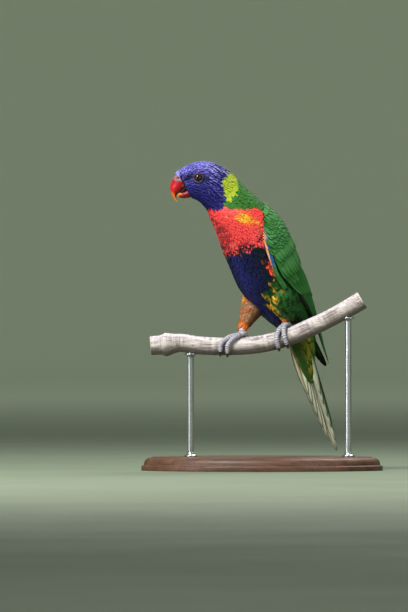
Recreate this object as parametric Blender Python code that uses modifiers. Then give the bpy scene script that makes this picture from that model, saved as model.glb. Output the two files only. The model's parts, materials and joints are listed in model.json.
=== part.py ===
"""Rainbow lorikeet gripping a cut length of branch, life size, on a plain display stand.

The bird faces -X, with its head in profile and its body turned BODY_TURN towards the viewer at -Y.
+Z is up and the origin lies under the middle of the stand's base. The sizes below are in
millimetres, and solid() turns them into metres.
"""

import math

import bmesh
import bpy
import numpy as np
from mathutils import Matrix, Vector

MM = 0.001
GAP = 0.3
WELD = 0.000005
UP = Vector((0.0, 0.0, 1.0))
LEFT_SIDE = 1
RIGHT_SIDE = -1

# Body plane: a vertical plane through BODY_POINT, turned from the head's own plane
BODY_TURN = 42.0
BODY_POINT = (30.5, 24.0)

# Head, neck and torso are one row of ellipses: x, y, z of the centre, lean of the back-to-belly
# axis from upright, half depth along it, half width across it, and turn of the section
TRUNK = (
    (-67.6, -27.0, 248.0, -28.0, 12.8, 7.6, 0.0),
    (-64.6, -27.0, 250.0, -16.0, 14.5, 10.5, 0.0),
    (-60.0, -27.0, 251.6, -3.0, 15.9, 13.4, 0.0),
    (-53.7, -27.0, 251.8, 8.0, 17.6, 15.6, 0.0),
    (-47.0, -27.0, 249.6, 17.4, 18.9, 17.0, 0.0),
    (-40.6, -26.9, 245.2, 27.4, 19.4, 17.8, 0.0),
    (-35.0, -26.6, 239.6, 39.0, 19.6, 18.8, 6.0),
    (-28.7, -25.5, 230.9, 48.0, 21.0, 21.5, 18.0),
    (-19.1, -20.2, 219.1, 54.0, 24.0, 25.5, 34.0),
    (-10.0, -12.5, 203.9, 58.0, 26.5, 29.0, 42.0),
    (-2.2, -5.4, 186.5, 60.0, 27.0, 29.5, 42.0),
    (4.8, 0.8, 169.1, 59.0, 26.5, 28.5, 42.0),
    (13.1, 8.3, 153.5, 56.0, 23.5, 26.0, 42.0),
    (21.8, 16.1, 139.5, 54.0, 18.5, 22.0, 42.0),
    (29.1, 22.8, 128.2, 58.0, 14.0, 17.5, 42.0),
    (33.5, 26.7, 119.5, 63.0, 11.0, 14.5, 42.0),
)
FACE_END, HEAD_END, NECK_END, TAIL_ROOT = 0, 6, 8, 15
TRUNK_SIDES = 30
TORSO_RINGS = 16

# Folded wings lie on a second row of ellipses: x, z, lean, half depth, half width
WING = (
    (-19.1, 219.1, 54.0, 25.5, 27.0),
    (-10.0, 203.9, 58.0, 28.5, 31.0),
    (-2.2, 186.5, 60.0, 29.0, 31.5),
    (4.8, 169.1, 59.0, 28.5, 30.5),
    (13.5, 153.9, 56.0, 26.0, 28.0),
    (22.6, 139.5, 54.0, 22.0, 24.0),
    (30.9, 124.8, 58.0, 17.5, 19.5),
    (39.6, 108.2, 63.0, 13.0, 14.5),
    (48.3, 91.7, 66.0, 9.0, 10.0),
    (51.3, 85.6, 66.0, 7.0, 8.0),
)
# Angles from the back's middle line of the wing's leading edge and of its edge on the back
WING_LEADING_EDGE = (88.0, 104.0, 114.0, 110.0, 98.0, 86.0, 75.0, 62.0, 58.0, 58.0)
WING_BACK_EDGE = (33.0, 20.0, 12.0, 10.0, 10.0, 12.0, 20.0, 38.0, 46.0, 46.0)
# Core under the wing's feathers: its stretch, the height of its middle and rim above the row of
# ellipses, and the depth that the torso then trims
WING_CORE_RANGE = (0.1, 3.3)
WING_CORE_DOME = 0.7
WING_CORE_EDGE = -1.1
WING_CORE_DEPTH = -5.0
WING_CORE_CELLS = (6, 7)

# Wing feathers: places and angles of roots and tips, and heights of roots and tips
FEATHER_THICKNESS = 0.6
FEATHER_ROLL = 8.0
ROOT_SWING = 1.5
PRIMARY_TIPS = (7.3, 7.7, 7.4, 6.9, 6.4, 5.9)
PRIMARY_ROOT = 2.8
PRIMARY_ANGLES = ((102.0, -4.6), (77.0, -4.4), (66.0, -6.0))
PRIMARY_RISE = (-0.7, 0.2, 0.16)
PRIMARY_WIDTH = 3.6
SECONDARY_COUNT = 6
SECONDARY_ROOT = 2.4
SECONDARY_TIP = (4.15, 0.16)
SECONDARY_ANGLES = ((96.0, -12.4), (85.0, -11.4))
SECONDARY_RISE = (-0.2, 1.7)
SECONDARY_WIDTH = 4.0
TERTIAL_TIPS = (5.2, 4.7)
TERTIAL_ROOT = 2.2
TERTIAL_ANGLES = ((27.0, -8.0), (22.5, -6.5))
TERTIAL_RISE = (0.0, 2.6)
TERTIAL_WIDTH = 5.2
# Wing coverts, a tier a row: count, place of roots and tips, angles of the first and the last,
# half width, height of the tips
WING_COVERTS = (
    (6, 1.8, 2.95, 100.0, 21.0, 5.1, 2.4),
    (6, 1.1, 2.15, 101.0, 22.0, 5.1, 2.4),
    (5, 0.55, 1.45, 94.0, 29.0, 5.2, 2.2),
    (4, 0.15, 0.85, 83.0, 38.0, 5.2, 1.7),
)
WING_COVERT_SINK = -0.4

# Outline of each kind of feather: share of the length, share of the half width
ROUND_TIP = ((0.0, 0.55), (0.4, 0.92), (0.72, 1.0), (0.92, 0.68), (1.0, 0.2))
COVERT_TIP = ((0.0, 0.7), (0.55, 1.0), (0.86, 0.72), (1.0, 0.22))
TAIL_TIP = ((0.0, 0.6), (0.4, 0.95), (0.7, 1.0), (0.88, 0.66), (1.0, 0.1))
NARROW_TIP = ((0.0, 0.6), (0.35, 1.0), (0.7, 0.88), (0.92, 0.5), (1.0, 0.14))

# Stretch of the wing that lies over the thigh, and the room left along its edge, in degrees
THIGH_COVER_RANGE = (1.6, 5.6)
THIGH_COVER_MARGIN = 7.0
THIGH_COVER_HEIGHT = 9.0

EYE_PLACE = (-55.6, 254.5)
EYE_ROW = 3
EYE_RADIUS = 4.2
EYE_SINK = 2.6
LID_RADIUS = 4.4
LID_THICKNESS = 0.8
LID_SINK = 0.5
LID_TILT = 8.0
NOSTRIL_PLACE = (-73.2, 254.3)
NOSTRIL_SPREAD = 5.0
NOSTRIL_RADIUS = 0.9

# Upper bill: x, z, lean, half depth and half width from its base to the hooked tip
BILL_UPPER = (
    (-71.9, 249.4, -35.4, 6.6, 6.2),
    (-74.1, 246.7, -43.2, 5.9, 5.4),
    (-76.0, 243.85, -53.2, 4.5, 4.2),
    (-76.8, 240.8, -57.7, 2.95, 2.8),
    (-76.2, 237.8, -67.4, 1.75, 1.7),
    (-74.9, 235.1, -79.2, 0.95, 0.9),
    (-73.7, 233.3, -79.2, 0.3, 0.3),
)
BILL_UPPER_BASE = (5.0, 7.4, 6.5)
# Lower bill, the same columns
BILL_LOWER = (
    (-66.4, 239.4, -20.5, 3.1, 5.2),
    (-69.4, 238.4, -14.3, 2.1, 4.2),
    (-71.4, 238.1, -12.0, 1.25, 2.8),
    (-72.5, 238.0, -12.0, 0.5, 1.2),
)
BILL_LOWER_BASE = (-8.4, 4.0, 5.6)
BILL_SIDES = 14

# Tail: x and z of its axis, in the body plane
TAIL_AXIS = ((33.5, 119.5), (38.3, 103.0), (50.5, 61.2), (59.2, 35.1), (66.1, 16.0))
TAIL_LEAN = 68.5
# Core under the tail's coverts: distance from the root, half depth, half width, drop
TAIL_CORE = (
    (GAP, 10.9, 14.4, 0.0),
    (6.0, 9.2, 14.2, -0.6),
    (14.0, 7.0, 13.4, -1.6),
    (24.0, 4.6, 11.4, -2.6),
    (34.0, 2.6, 8.6, -3.2),
    (42.0, 1.2, 4.6, -3.4),
)
TAIL_CORE_SIDES = 20
TAIL_BLEND = 14.0
# Lengths of the tail feathers from the central pair out, and how far they spread
TAIL_FEATHERS = (112.0, 101.0, 89.0, 77.0, 66.0, 56.0)
TAIL_FEATHER_ROOT = 4.0
TAIL_FEATHER_WIDTH = 5.9
TAIL_FEATHER_ROLL = 2.0
TAIL_LAYER = 0.85
TAIL_CENTRE_SPREAD = (1.2, 0.3)
TAIL_ROOT_SPREAD = (4.4, 0.9)
TAIL_TIP_SPREAD = (3.9, 0.85)
# Tail coverts, a tier a row: root, length of the inmost and what each next one lacks, count, first
# spread and step of the roots and of the tips, drop of roots and tips, half width, roll
TAIL_COVERTS = (
    (10.0, 50.0, 4.0, 2, (2.0, 3.6), (2.2, 3.0), (-4.44, -7.4), 4.6, 6.0),
    (4.0, 38.0, 4.0, 3, (2.0, 3.6), (2.2, 3.0), (-4.92, -8.2), 4.6, 6.0),
    (6.0, 36.0, 5.0, 2, (2.6, 4.0), (2.6, 3.6), (2.0, 1.6), 4.8, -4.0),
)

# Perch: its y, and x, z and radius along the branch
PERCH_Y = -7.5
PERCH = (
    (-97.0, 108.4, 8.2),
    (-88.0, 109.2, 8.6),
    (-83.5, 109.5, 10.2),
    (-76.6, 110.4, 8.6),
    (-69.6, 110.8, 7.9),
    (-53.9, 108.7, 7.8),
    (-36.5, 107.8, 7.7),
    (-19.1, 108.2, 7.6),
    (-3.5, 109.5, 7.6),
    (11.3, 112.6, 7.7),
    (26.1, 117.4, 7.8),
    (39.1, 123.0, 7.8),
    (52.2, 128.9, 7.6),
    (65.2, 135.6, 7.6),
    (78.3, 143.0, 7.8),
    (87.0, 148.2, 8.0),
)

BASE_LENGTH = 210.0
BASE_DEPTH = 150.0
BASE_HEIGHT = 12.0
BASE_EDGE = 2.0
ROD_RADIUS = 2.6
ROD_PLACES = (("stand_rod_left", -62.0), ("stand_rod_right", 75.0))
ROD_SINK_BASE = 8.0
ROD_SINK_PERCH = 5.0

# Thighs: x, y, z and radius from inside the torso down to the ankle
THIGHS = {
    "thigh_left": (
        (15.0, -5.5, 161.0, 12.5),
        (17.6, -8.5, 151.5, 14.5),
        (19.4, -9.0, 141.5, 11.0),
        (20.5, -8.0, 134.5, 6.6),
        (20.8, -7.5, 131.2, 4.4),
    ),
    "thigh_right": (
        (1.5, 13.0, 160.0, 12.5),
        (-4.5, 9.5, 149.0, 12.5),
        (-10.5, 2.5, 137.0, 8.8),
        (-15.2, -4.0, 127.6, 5.6),
        (-16.6, -6.0, 124.2, 4.4),
    ),
}

# Feet: place along the perch, and for each toe its drift along the perch, the turn that it starts
# and ends at round the perch (90 is the top and 0 the viewer's side) and its claw's further turn
FEET = {
    "foot_left": (24.0, ((-11.5, 76.0, -38.0, -54.0), (-4.5, 72.0, -34.0, -58.0),
                         (5.5, 112.0, 196.0, 46.0), (-2.0, 118.0, 204.0, 46.0))),
    "foot_right": (-16.8, ((-19.5, 70.0, -24.0, -56.0), (-13.5, 62.0, -32.0, -56.0),
                           (5.0, 112.0, 190.0, 46.0), (-1.5, 120.0, 200.0, 46.0))),
}
TOE_RADIUS = 2.2
TOE_END_RADIUS = 1.7
CLAW_RADIUS = 1.35
CLAW_TIP_RADIUS = 0.25
PAD_RADIUS = 4.6
PAD_HEIGHT = 2.8
TARSUS_RADIUS = 3.3
TOE_JOINTS = 7
TOE_BULGE = 0.25
CLAW_STRAIGHT = 0.8
CLAW_STEPS = 4
CLAW_ARCH = 0.4

COLOURS = {
    "head": (0.06, 0.06, 0.42),
    "neck": (0.35, 0.50, 0.05),
    "torso": (0.60, 0.07, 0.04),
    "tail": (0.10, 0.30, 0.05),
    "wing": (0.03, 0.22, 0.04),
    "thigh": (0.20, 0.40, 0.05),
    "foot": (0.36, 0.33, 0.35),
    "claw": (0.02, 0.02, 0.02),
    "eye": (0.25, 0.03, 0.01),
    "bill": (0.70, 0.08, 0.02),
    "perch": (0.36, 0.28, 0.24),
    "stand_base": (0.10, 0.06, 0.04),
    "stand_rod": (0.45, 0.45, 0.45),
}
GLOSSY = ("claw", "eye", "bill", "stand_rod")


def body_y(x):
    """Y of the body plane at x."""
    return BODY_POINT[1] + (x - BODY_POINT[0]) * math.tan(math.radians(BODY_TURN))


def section_axes(lean, turn):
    """Unit vectors towards the back and the left of a section with this lean and turn."""
    lean, turn = math.radians(lean), math.radians(turn)
    forward = Vector((-math.cos(turn), -math.sin(turn), 0.0))
    left = Vector((math.sin(turn), -math.cos(turn), 0.0))
    return math.cos(lean) * UP - math.sin(lean) * forward, left


def read_smoothly(rows, place):
    """Row of a table read at a fractional place, on a smooth curve through its rows."""
    rows = np.asarray(rows, dtype=float)
    last = len(rows) - 1
    start = min(max(int(math.floor(place)), 0), last - 1)
    t = place - start
    a, b, c, d = (rows[min(max(start + k, 0), last)] for k in (-1, 0, 1, 2))
    return 0.5 * (2 * b + (c - a) * t + (2 * a - 5 * b + 4 * c - d) * t ** 2
                  + (3 * b - a - 3 * c + d) * t ** 3)


def ring(centre, up, left, depth, width, sides):
    """Points of an ellipse round a centre, from the back round the left side."""
    points = []
    for k in range(sides):
        angle = math.tau * k / sides
        points.append(centre + up * (depth * math.cos(angle)) + left * (width * math.sin(angle)))
    return points


def trunk_section(place, grow=0.0):
    """Centre, axes and half sizes of the trunk at a place along TRUNK."""
    x, y, z, lean, depth, width, turn = read_smoothly(TRUNK, place)
    up, left = section_axes(lean, turn)
    return Vector((x, y, z)), up, left, depth + grow, width + grow


def wing_section(place):
    """Centre, axes and half sizes of the folded wings at a place along WING."""
    x, z, lean, depth, width = read_smoothly(WING, place)
    up, left = section_axes(lean, BODY_TURN)
    return Vector((x, body_y(x), z)), up, left, depth, width


def wing_point(side, place, angle, out):
    """Point of a folded wing, and the way out of its surface there."""
    centre, up, left, depth, width = wing_section(place)
    angle = math.radians(angle)
    point = (centre + up * ((depth + out) * math.cos(angle))
             + left * (side * (width + out) * math.sin(angle)))
    normal = up * (math.cos(angle) / depth) + left * (side * math.sin(angle) / width)
    return point, normal.normalized()


def solid(name, points, faces):
    """Object of hand-listed faces, with the points given in millimetres."""
    mesh = bpy.data.meshes.new(name)
    mesh.from_pydata([Vector(p) * MM for p in points], [], faces)
    shape = bmesh.new()
    shape.from_mesh(mesh)
    bmesh.ops.recalc_face_normals(shape, faces=shape.faces)
    shape.to_mesh(mesh)
    shape.free()
    item = bpy.data.objects.new(name, mesh)
    bpy.context.scene.collection.objects.link(item)
    return item


def loft(name, rings):
    """Closed body through rings of as many points each, with flat ends."""
    sides = len(rings[0])
    points = [point for row in rings for point in row]
    faces = [tuple(range(sides)), tuple(range(len(points) - sides, len(points)))]
    for row in range(len(rings) - 1):
        for k in range(sides):
            a, b = row * sides + k, row * sides + (k + 1) % sides
            faces.append((a, b, b + sides, a + sides))
    return solid(name, points, faces)


def rod(name, points, radii, fineness):
    """Tube with flat ends along points in millimetres, with a radius at each point."""
    curve = bpy.data.curves.new(name, "CURVE")
    curve.dimensions = "3D"
    curve.bevel_depth = MM
    curve.bevel_resolution = fineness
    curve.use_fill_caps = True
    spline = curve.splines.new("POLY")
    spline.points.add(len(points) - 1)
    for spot, point, radius in zip(spline.points, points, radii):
        spot.co = (*(Vector(point) * MM), 1.0)
        spot.radius = radius
    tube = bpy.data.objects.new(name, curve)
    bpy.context.scene.collection.objects.link(tube)
    bpy.context.view_layer.update()
    evaluated = tube.evaluated_get(bpy.context.evaluated_depsgraph_get())
    mesh = bpy.data.meshes.new_from_object(evaluated)
    bpy.data.objects.remove(tube)
    shape = bmesh.new()
    shape.from_mesh(mesh)
    bmesh.ops.remove_doubles(shape, verts=shape.verts, dist=WELD)
    bmesh.ops.recalc_face_normals(shape, faces=shape.faces)
    shape.to_mesh(mesh)
    shape.free()
    item = bpy.data.objects.new(name, mesh)
    bpy.context.scene.collection.objects.link(item)
    return item


def ball(name, centre, radius, segments=16, rings=9, stretch=(1.0, 1.0, 1.0), pole=None):
    """Sphere or ellipsoid, with its poles along Z or along pole."""
    bpy.ops.mesh.primitive_uv_sphere_add(segments=segments, ring_count=rings, radius=radius * MM)
    item = bpy.context.object
    item.name = name
    turn = Matrix() if pole is None else Vector(pole).to_track_quat("Z", "Y").to_matrix().to_4x4()
    item.data.transform(Matrix.Translation(Vector(centre) * MM) @ turn
                        @ Matrix.Diagonal((*stretch, 1.0)))
    return item


def pillar(name, place, bottom, top, radius, sides=16):
    """Upright cylinder at place (x, y) between two heights."""
    bpy.ops.mesh.primitive_cylinder_add(vertices=sides, radius=radius * MM,
                                        depth=(top - bottom) * MM)
    item = bpy.context.object
    item.name = name
    middle = Vector((*place, (top + bottom) / 2)) * MM
    item.data.transform(Matrix.Translation(middle))
    return item


def bake(item):
    """Put the result of an object's modifiers into its mesh."""
    bpy.context.view_layer.update()
    evaluated = item.evaluated_get(bpy.context.evaluated_depsgraph_get())
    mesh = bpy.data.meshes.new_from_object(evaluated)
    item.modifiers.clear()
    item.data = mesh


def keep_largest(item):
    """Drop every closed surface of an object but the largest."""
    shape = bmesh.new()
    shape.from_mesh(item.data)
    left = set(shape.faces)
    islands = []
    while left:
        island = {left.pop()}
        edge_of_island = list(island)
        while edge_of_island:
            face = edge_of_island.pop()
            for edge in face.edges:
                for other in edge.link_faces:
                    if other in left:
                        left.remove(other)
                        island.add(other)
                        edge_of_island.append(other)
        islands.append(island)
    islands.sort(key=lambda island: sum(face.calc_area() for face in island))
    scraps = [face for island in islands[:-1] for face in island]
    bmesh.ops.delete(shape, geom=scraps, context="FACES")
    shape.to_mesh(item.data)
    shape.free()


def fuse(pieces, cutters=()):
    """Join closed pieces into the first of them, cut it and keep its largest surface."""
    item = pieces[0]
    if len(pieces) > 1:
        group = bpy.data.collections.new(item.name + "_pieces")
        bpy.context.scene.collection.children.link(group)
        for piece in pieces[1:]:
            group.objects.link(piece)
        union = item.modifiers.new("join", "BOOLEAN")
        union.operation = "UNION"
        union.operand_type = "COLLECTION"
        union.collection = group
        union.solver = "EXACT"
        bake(item)
        for piece in pieces[1:]:
            bpy.data.objects.remove(piece)
        bpy.data.collections.remove(group)
    for cutter in cutters:
        cut = item.modifiers.new("cut", "BOOLEAN")
        cut.operation = "DIFFERENCE"
        cut.object = cutter
        cut.solver = "EXACT"
        bake(item)
    keep_largest(item)
    return item


def vane(name, path, stations, half_width, fine=False):
    """Feather vane along path(t), which gives a point, the way across and the way out.

    Each station is a t, and the share there of the width. A fine vane has a raised middle, and
    both faces of every vane are split into triangles alike.
    """
    points, faces = [], []
    for t, share in stations:
        spot, across, out = path(t)
        reach = across * (half_width * share)
        lift = out * (FEATHER_THICKNESS / 2)
        row = [spot - reach + lift, spot + reach + lift, spot + reach - lift, spot - reach - lift]
        if fine:
            crown = lift * share
            row.insert(1, spot + lift + crown)
            row.insert(4, spot - lift + crown)
        points += row
    sides = 6 if fine else 4
    half = sides // 2
    for row in range(len(stations) - 1):
        for k in range(sides):
            a, b = row * sides + k, row * sides + (k + 1) % sides
            c, d = b + sides, a + sides
            if k < half:
                faces += [(a, b, c), (a, c, d)]
            else:
                faces += [(a, b, d), (b, c, d)]
    for first in (0, len(points) - sides):
        corners = ((0, 1, 4, 5), (1, 2, 3, 4)) if fine else ((0, 1, 2, 3),)
        faces += [tuple(first + k for k in corner) for corner in corners]
    return solid(name, points, faces)


def wing_path(side, root, middle, tip, rise):
    """Path of a wing feather through three (place, angle) spots, rising between two heights."""
    roll = math.radians(FEATHER_ROLL)
    spots = (root, middle, tip)

    def place_at(t):
        near, mid, far = (1 - t) * (1 - 2 * t), 4 * t * (1 - t), t * (2 * t - 1)
        place, angle = (near * spots[0][k] + mid * spots[1][k] + far * spots[2][k] for k in (0, 1))
        return wing_point(side, place, angle, rise[0] + (rise[1] - rise[0]) * t)

    def path(t):
        step = 0.02
        spot, out = place_at(t)
        along = (place_at(t + step)[0] - place_at(t - step)[0]).normalized()
        across = along.cross(out).normalized() * -side
        out = (out - along * out.dot(along)).normalized()
        leading = across * math.cos(roll) + out * math.sin(roll)
        return spot, leading, out * math.cos(roll) - across * math.sin(roll)

    return path


def wing_slab(name, side, places, margin, edge, middle):
    """Curved slab over the torso where a wing lies, from edge thick at its rim to middle inside."""
    along, around = WING_CORE_CELLS
    outer, inner = [], []
    for row in range(along + 1):
        share = row / along
        place = places[0] + (places[1] - places[0]) * share
        lead, back = (read_smoothly([[v] for v in edge_of], place)[0]
                      for edge_of in (WING_LEADING_EDGE, WING_BACK_EDGE))
        swell = abs(math.sin(math.pi * share)) ** 0.5
        for k in range(around + 1):
            angle = back + (lead + margin - back) * k / around
            dome = swell * abs(math.sin(math.pi * k / around)) ** 0.5
            out = edge + (middle - edge) * dome
            outer.append(wing_point(side, place, angle, out)[0])
            inner.append(wing_point(side, place, angle, WING_CORE_DEPTH)[0])
    count = len(outer)
    width = around + 1
    faces = []
    for row in range(along):
        for k in range(around):
            a = row * width + k
            quad = (a, a + 1, a + 1 + width, a + width)
            faces += [quad, tuple(index + count for index in reversed(quad))]
    rim = ([k for k in range(width)] + [row * width + around for row in range(1, along + 1)]
           + [along * width + k for k in range(around - 1, -1, -1)]
           + [row * width for row in range(along - 1, 0, -1)])
    for a, b in zip(rim, rim[1:] + rim[:1]):
        faces.append((a, b, b + count, a + count))
    return solid(name, outer + inner, faces)


def halfway(root, tip, swing=0.0):
    """Spot midway between two (place, angle) spots, swung forward by an angle."""
    return (root[0] + tip[0]) / 2, (root[1] + tip[1]) / 2 + swing


def wing(name, side, cutters):
    """Folded wing: flight feathers and their coverts in tiers on the core."""
    pieces = [wing_slab("core", side, WING_CORE_RANGE, 0.0, WING_CORE_EDGE, WING_CORE_DOME)]
    for k, tip_place in enumerate(PRIMARY_TIPS):
        at_root, at_middle, at_tip = (first + step * k for first, step in PRIMARY_ANGLES)
        root, tip = (PRIMARY_ROOT, at_root), (tip_place, at_tip)
        middle = ((root[0] + tip[0]) / 2, at_middle)
        sunk, first, step = PRIMARY_RISE
        path = wing_path(side, root, middle, tip, (sunk, first + step * k))
        pieces.append(vane("primary", path, NARROW_TIP, PRIMARY_WIDTH))
    for k in range(SECONDARY_COUNT):
        at_root, at_tip = (first + step * k for first, step in SECONDARY_ANGLES)
        root, tip = (SECONDARY_ROOT, at_root), (SECONDARY_TIP[0] + SECONDARY_TIP[1] * k, at_tip)
        path = wing_path(side, root, halfway(root, tip, 1.0), tip, SECONDARY_RISE)
        pieces.append(vane("secondary", path, ROUND_TIP, SECONDARY_WIDTH))
    for k, tip_place in enumerate(TERTIAL_TIPS):
        at_root, at_tip = (first + step * k for first, step in TERTIAL_ANGLES)
        root, tip = (TERTIAL_ROOT, at_root), (tip_place, at_tip)
        path = wing_path(side, root, halfway(root, tip, 1.0), tip, TERTIAL_RISE)
        pieces.append(vane("tertial", path, ROUND_TIP, TERTIAL_WIDTH))
    for count, start, stop, low, high, half_width, rise in WING_COVERTS:
        for k in range(count):
            angle = low + (high - low) * k / (count - 1)
            root = (start, angle)
            tip = (stop + 0.05 * math.sin(2.4 * k), angle - ROOT_SWING)
            middle = ((start + stop) / 2, angle)
            path = wing_path(side, root, middle, tip, (WING_COVERT_SINK, rise))
            pieces.append(vane("covert", path, COVERT_TIP, half_width))
    item = fuse(pieces, cutters)
    item.name = name
    return item


def tail_axis(distance):
    """Point of the tail's axis at a distance from its root, and the way along it."""
    points = [Vector((x, body_y(x), z)) for x, z in TAIL_AXIS]
    lengths = [0.0]
    for a, b in zip(points, points[1:]):
        lengths.append(lengths[-1] + (b - a).length)
    place = float(np.interp(distance, lengths, range(len(points))))
    if distance > lengths[-1]:
        place += (distance - lengths[-1]) / (lengths[-1] - lengths[-2])
    here = Vector(read_smoothly(points, place))
    step = 0.01
    along = Vector(read_smoothly(points, place + step)) - Vector(read_smoothly(points, place - step))
    return here, along.normalized()


def tail_path(side, start, length, spread, layer, roll):
    """Path of a tail feather, spread sideways and sunk below the axis by its layer."""
    roll = math.radians(roll)
    left = section_axes(TAIL_LEAN, BODY_TURN)[1]

    def path(t):
        here, along = tail_axis(start + (length - start) * t)
        out = left.cross(along).normalized()
        if out.dot(UP) < 0:
            out = -out
        offset = spread[0] + (spread[1] - spread[0]) * t
        drop = layer[0] + (layer[1] - layer[0]) * t
        outward = left * side
        across = outward * math.cos(roll) - out * math.sin(roll)
        face = out * math.cos(roll) + outward * math.sin(roll)
        return here + outward * offset + out * drop, across, face

    return path


def tail(name):
    """Tail: six pairs of graduated feathers, and coverts above and below their roots."""
    up, left = section_axes(TRUNK[TAIL_ROOT][3], BODY_TURN)
    rings = []
    for distance, depth, width, drop in TAIL_CORE:
        here, along = tail_axis(distance)
        out = left.cross(along)
        out = out if out.dot(UP) > 0 else -out
        out = up.lerp(out, min(distance / TAIL_BLEND, 1.0)).normalized()
        rings.append(ring(here + out * drop, out, left, depth, width, TAIL_CORE_SIDES))
    normal = left.cross(up).normalized()
    normal = normal if normal.dot(UP) < 0 else -normal
    root = trunk_section(TAIL_ROOT)[0]
    centre = sum(rings[0], Vector()) / len(rings[0])
    shift = normal * (GAP - (centre - root).dot(normal))
    rings[0] = [point + shift for point in rings[0]]
    pieces = [loft(name, rings)]
    for side in (LEFT_SIDE, RIGHT_SIDE):
        for k, length in enumerate(TAIL_FEATHERS):
            spread = (TAIL_ROOT_SPREAD[0] + TAIL_ROOT_SPREAD[1] * k,
                      TAIL_TIP_SPREAD[0] + TAIL_TIP_SPREAD[1] * k)
            drop = -TAIL_LAYER * (k + 1)
            if k == 0:
                spread = TAIL_CENTRE_SPREAD
                drop = 0.0 if side == LEFT_SIDE else -TAIL_LAYER
            path = tail_path(side, TAIL_FEATHER_ROOT, length, spread, (drop, drop * 0.8),
                             TAIL_FEATHER_ROLL if k else 0.0)
            pieces.append(vane("rectrix", path, TAIL_TIP, TAIL_FEATHER_WIDTH, fine=True))
        for start, length, less, count, at_root, at_tip, drop, half_width, roll in TAIL_COVERTS:
            for k in range(count):
                spread = (at_root[0] + at_root[1] * k, at_tip[0] + at_tip[1] * k)
                path = tail_path(side, start, length - less * k, spread, drop, roll)
                pieces.append(vane("covert", path, COVERT_TIP, half_width))
    return fuse(pieces)


def perch_at(x):
    """Centre, direction and radius of the perch at x."""
    places = [row[0] for row in PERCH]
    place = float(np.interp(x, places, range(len(places))))
    px, pz, radius = read_smoothly(PERCH, place)
    step = 0.05
    ahead, behind = read_smoothly(PERCH, place + step), read_smoothly(PERCH, place - step)
    along = Vector((ahead[0] - behind[0], 0.0, ahead[1] - behind[1])).normalized()
    return Vector((px, PERCH_Y, pz)), along, radius


def wrap_point(x, turn, height):
    """Point at a height above the perch's surface, at a turn round it."""
    centre, along, radius = perch_at(x)
    front = along.cross(UP).normalized()
    top = front.cross(along).normalized()
    turn = math.radians(turn)
    return centre + (front * math.cos(turn) + top * math.sin(turn)) * (radius + height)


def thigh_line(name):
    """Points and radii of a thigh, from inside the torso to the ankle."""
    rows = THIGHS[name]
    points, radii = [], []
    for k in range(2 * (len(rows) - 1) + 1):
        x, y, z, radius = read_smoothly(rows, k / 2)
        points.append(Vector((x, y, z)))
        radii.append(radius)
    return points, radii


def foot(name):
    """Foot: a short shank and pad on the perch, with two toes in front and two behind."""
    place, toes = FEET[name]
    side = name.split("_")[1]
    knee, ankle = thigh_line("thigh_" + side)[0][-2:]
    shin = (ankle - knee).normalized()
    pad = wrap_point(place, 90.0, PAD_HEIGHT + GAP)
    shank = [ankle + shin * GAP, ankle + shin * 1.5, ankle.lerp(pad, 0.85)]
    pieces = [rod(name, shank, [TARSUS_RADIUS, TARSUS_RADIUS, TARSUS_RADIUS * 0.9], 3)]
    top = wrap_point(place, 90.0, 1.0) - wrap_point(place, 90.0, 0.0)
    pieces.append(ball("pad", pad, PAD_RADIUS, 12, 8, (1.0, 0.95, PAD_HEIGHT / PAD_RADIUS), top))
    claws = []
    for rank, (drift, start, end, claw_turn) in enumerate(toes):
        first = wrap_point(place + 0.3 * rank, start, TOE_RADIUS + GAP)
        path, radii = [pad.lerp(first, 0.1 + 0.06 * rank)], [TOE_RADIUS * (0.9 + 0.03 * rank)]
        for k in range(TOE_JOINTS + 1):
            t = k / TOE_JOINTS
            radius = TOE_RADIUS + (TOE_END_RADIUS - TOE_RADIUS) * t
            bulge = TOE_BULGE * math.sin(math.pi * 2.5 * t) ** 2
            x = place + drift * (0.25 + 0.75 * t ** 0.8)
            path.append(wrap_point(x, start + (end - start) * t, radius + bulge + GAP))
            radii.append(radius + bulge)
        pieces.append(rod("toe", path, radii, 2))
        tip_way = (path[-1] - path[-2]).normalized()
        claw_start = path[-1] + tip_way * GAP
        x = place + drift
        claw_path = [claw_start, claw_start + tip_way * CLAW_STRAIGHT]
        claw_radii = [CLAW_RADIUS, CLAW_RADIUS]
        for k in range(1, CLAW_STEPS + 1):
            t = k / CLAW_STEPS
            radius = CLAW_RADIUS + (CLAW_TIP_RADIUS - CLAW_RADIUS) * t
            arch = CLAW_ARCH * (1.0 - 0.75 * t) * math.sin(math.pi * t)
            height = TOE_END_RADIUS + GAP + arch
            lift = height + (CLAW_TIP_RADIUS + GAP - TOE_END_RADIUS) * t ** 2
            claw_path.append(wrap_point(x, end + claw_turn * (0.12 + 0.88 * t), lift))
            claw_radii.append(radius)
        claw_name = f"claw_{side}_{len(claws) + 1}"
        claws.append(rod(claw_name, claw_path, claw_radii, 1))
    return fuse(pieces), claws


def bill(name, base, rows, cutters=()):
    """Half of the bill, from its base against the face to its tip."""
    centre, up, left, _, _ = trunk_section(FACE_END)
    normal = up.cross(left).normalized()
    normal = normal if normal.x < 0 else -normal
    along_face, depth, width = base
    rings = [ring(centre + up * along_face + normal * GAP, up, left, depth, width, BILL_SIDES)]
    count = round(1.5 * (len(rows) - 1))
    for k in range(count + 1):
        x, z, lean, half_depth, half_width = read_smoothly(rows, k * (len(rows) - 1) / count)
        section_up, section_left = section_axes(lean, 0.0)
        spot = Vector((x, TRUNK[FACE_END][1], z))
        rings.append(ring(spot, section_up, section_left, half_depth, half_width, BILL_SIDES))
    return fuse([loft(name, rings)], cutters)


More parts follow.
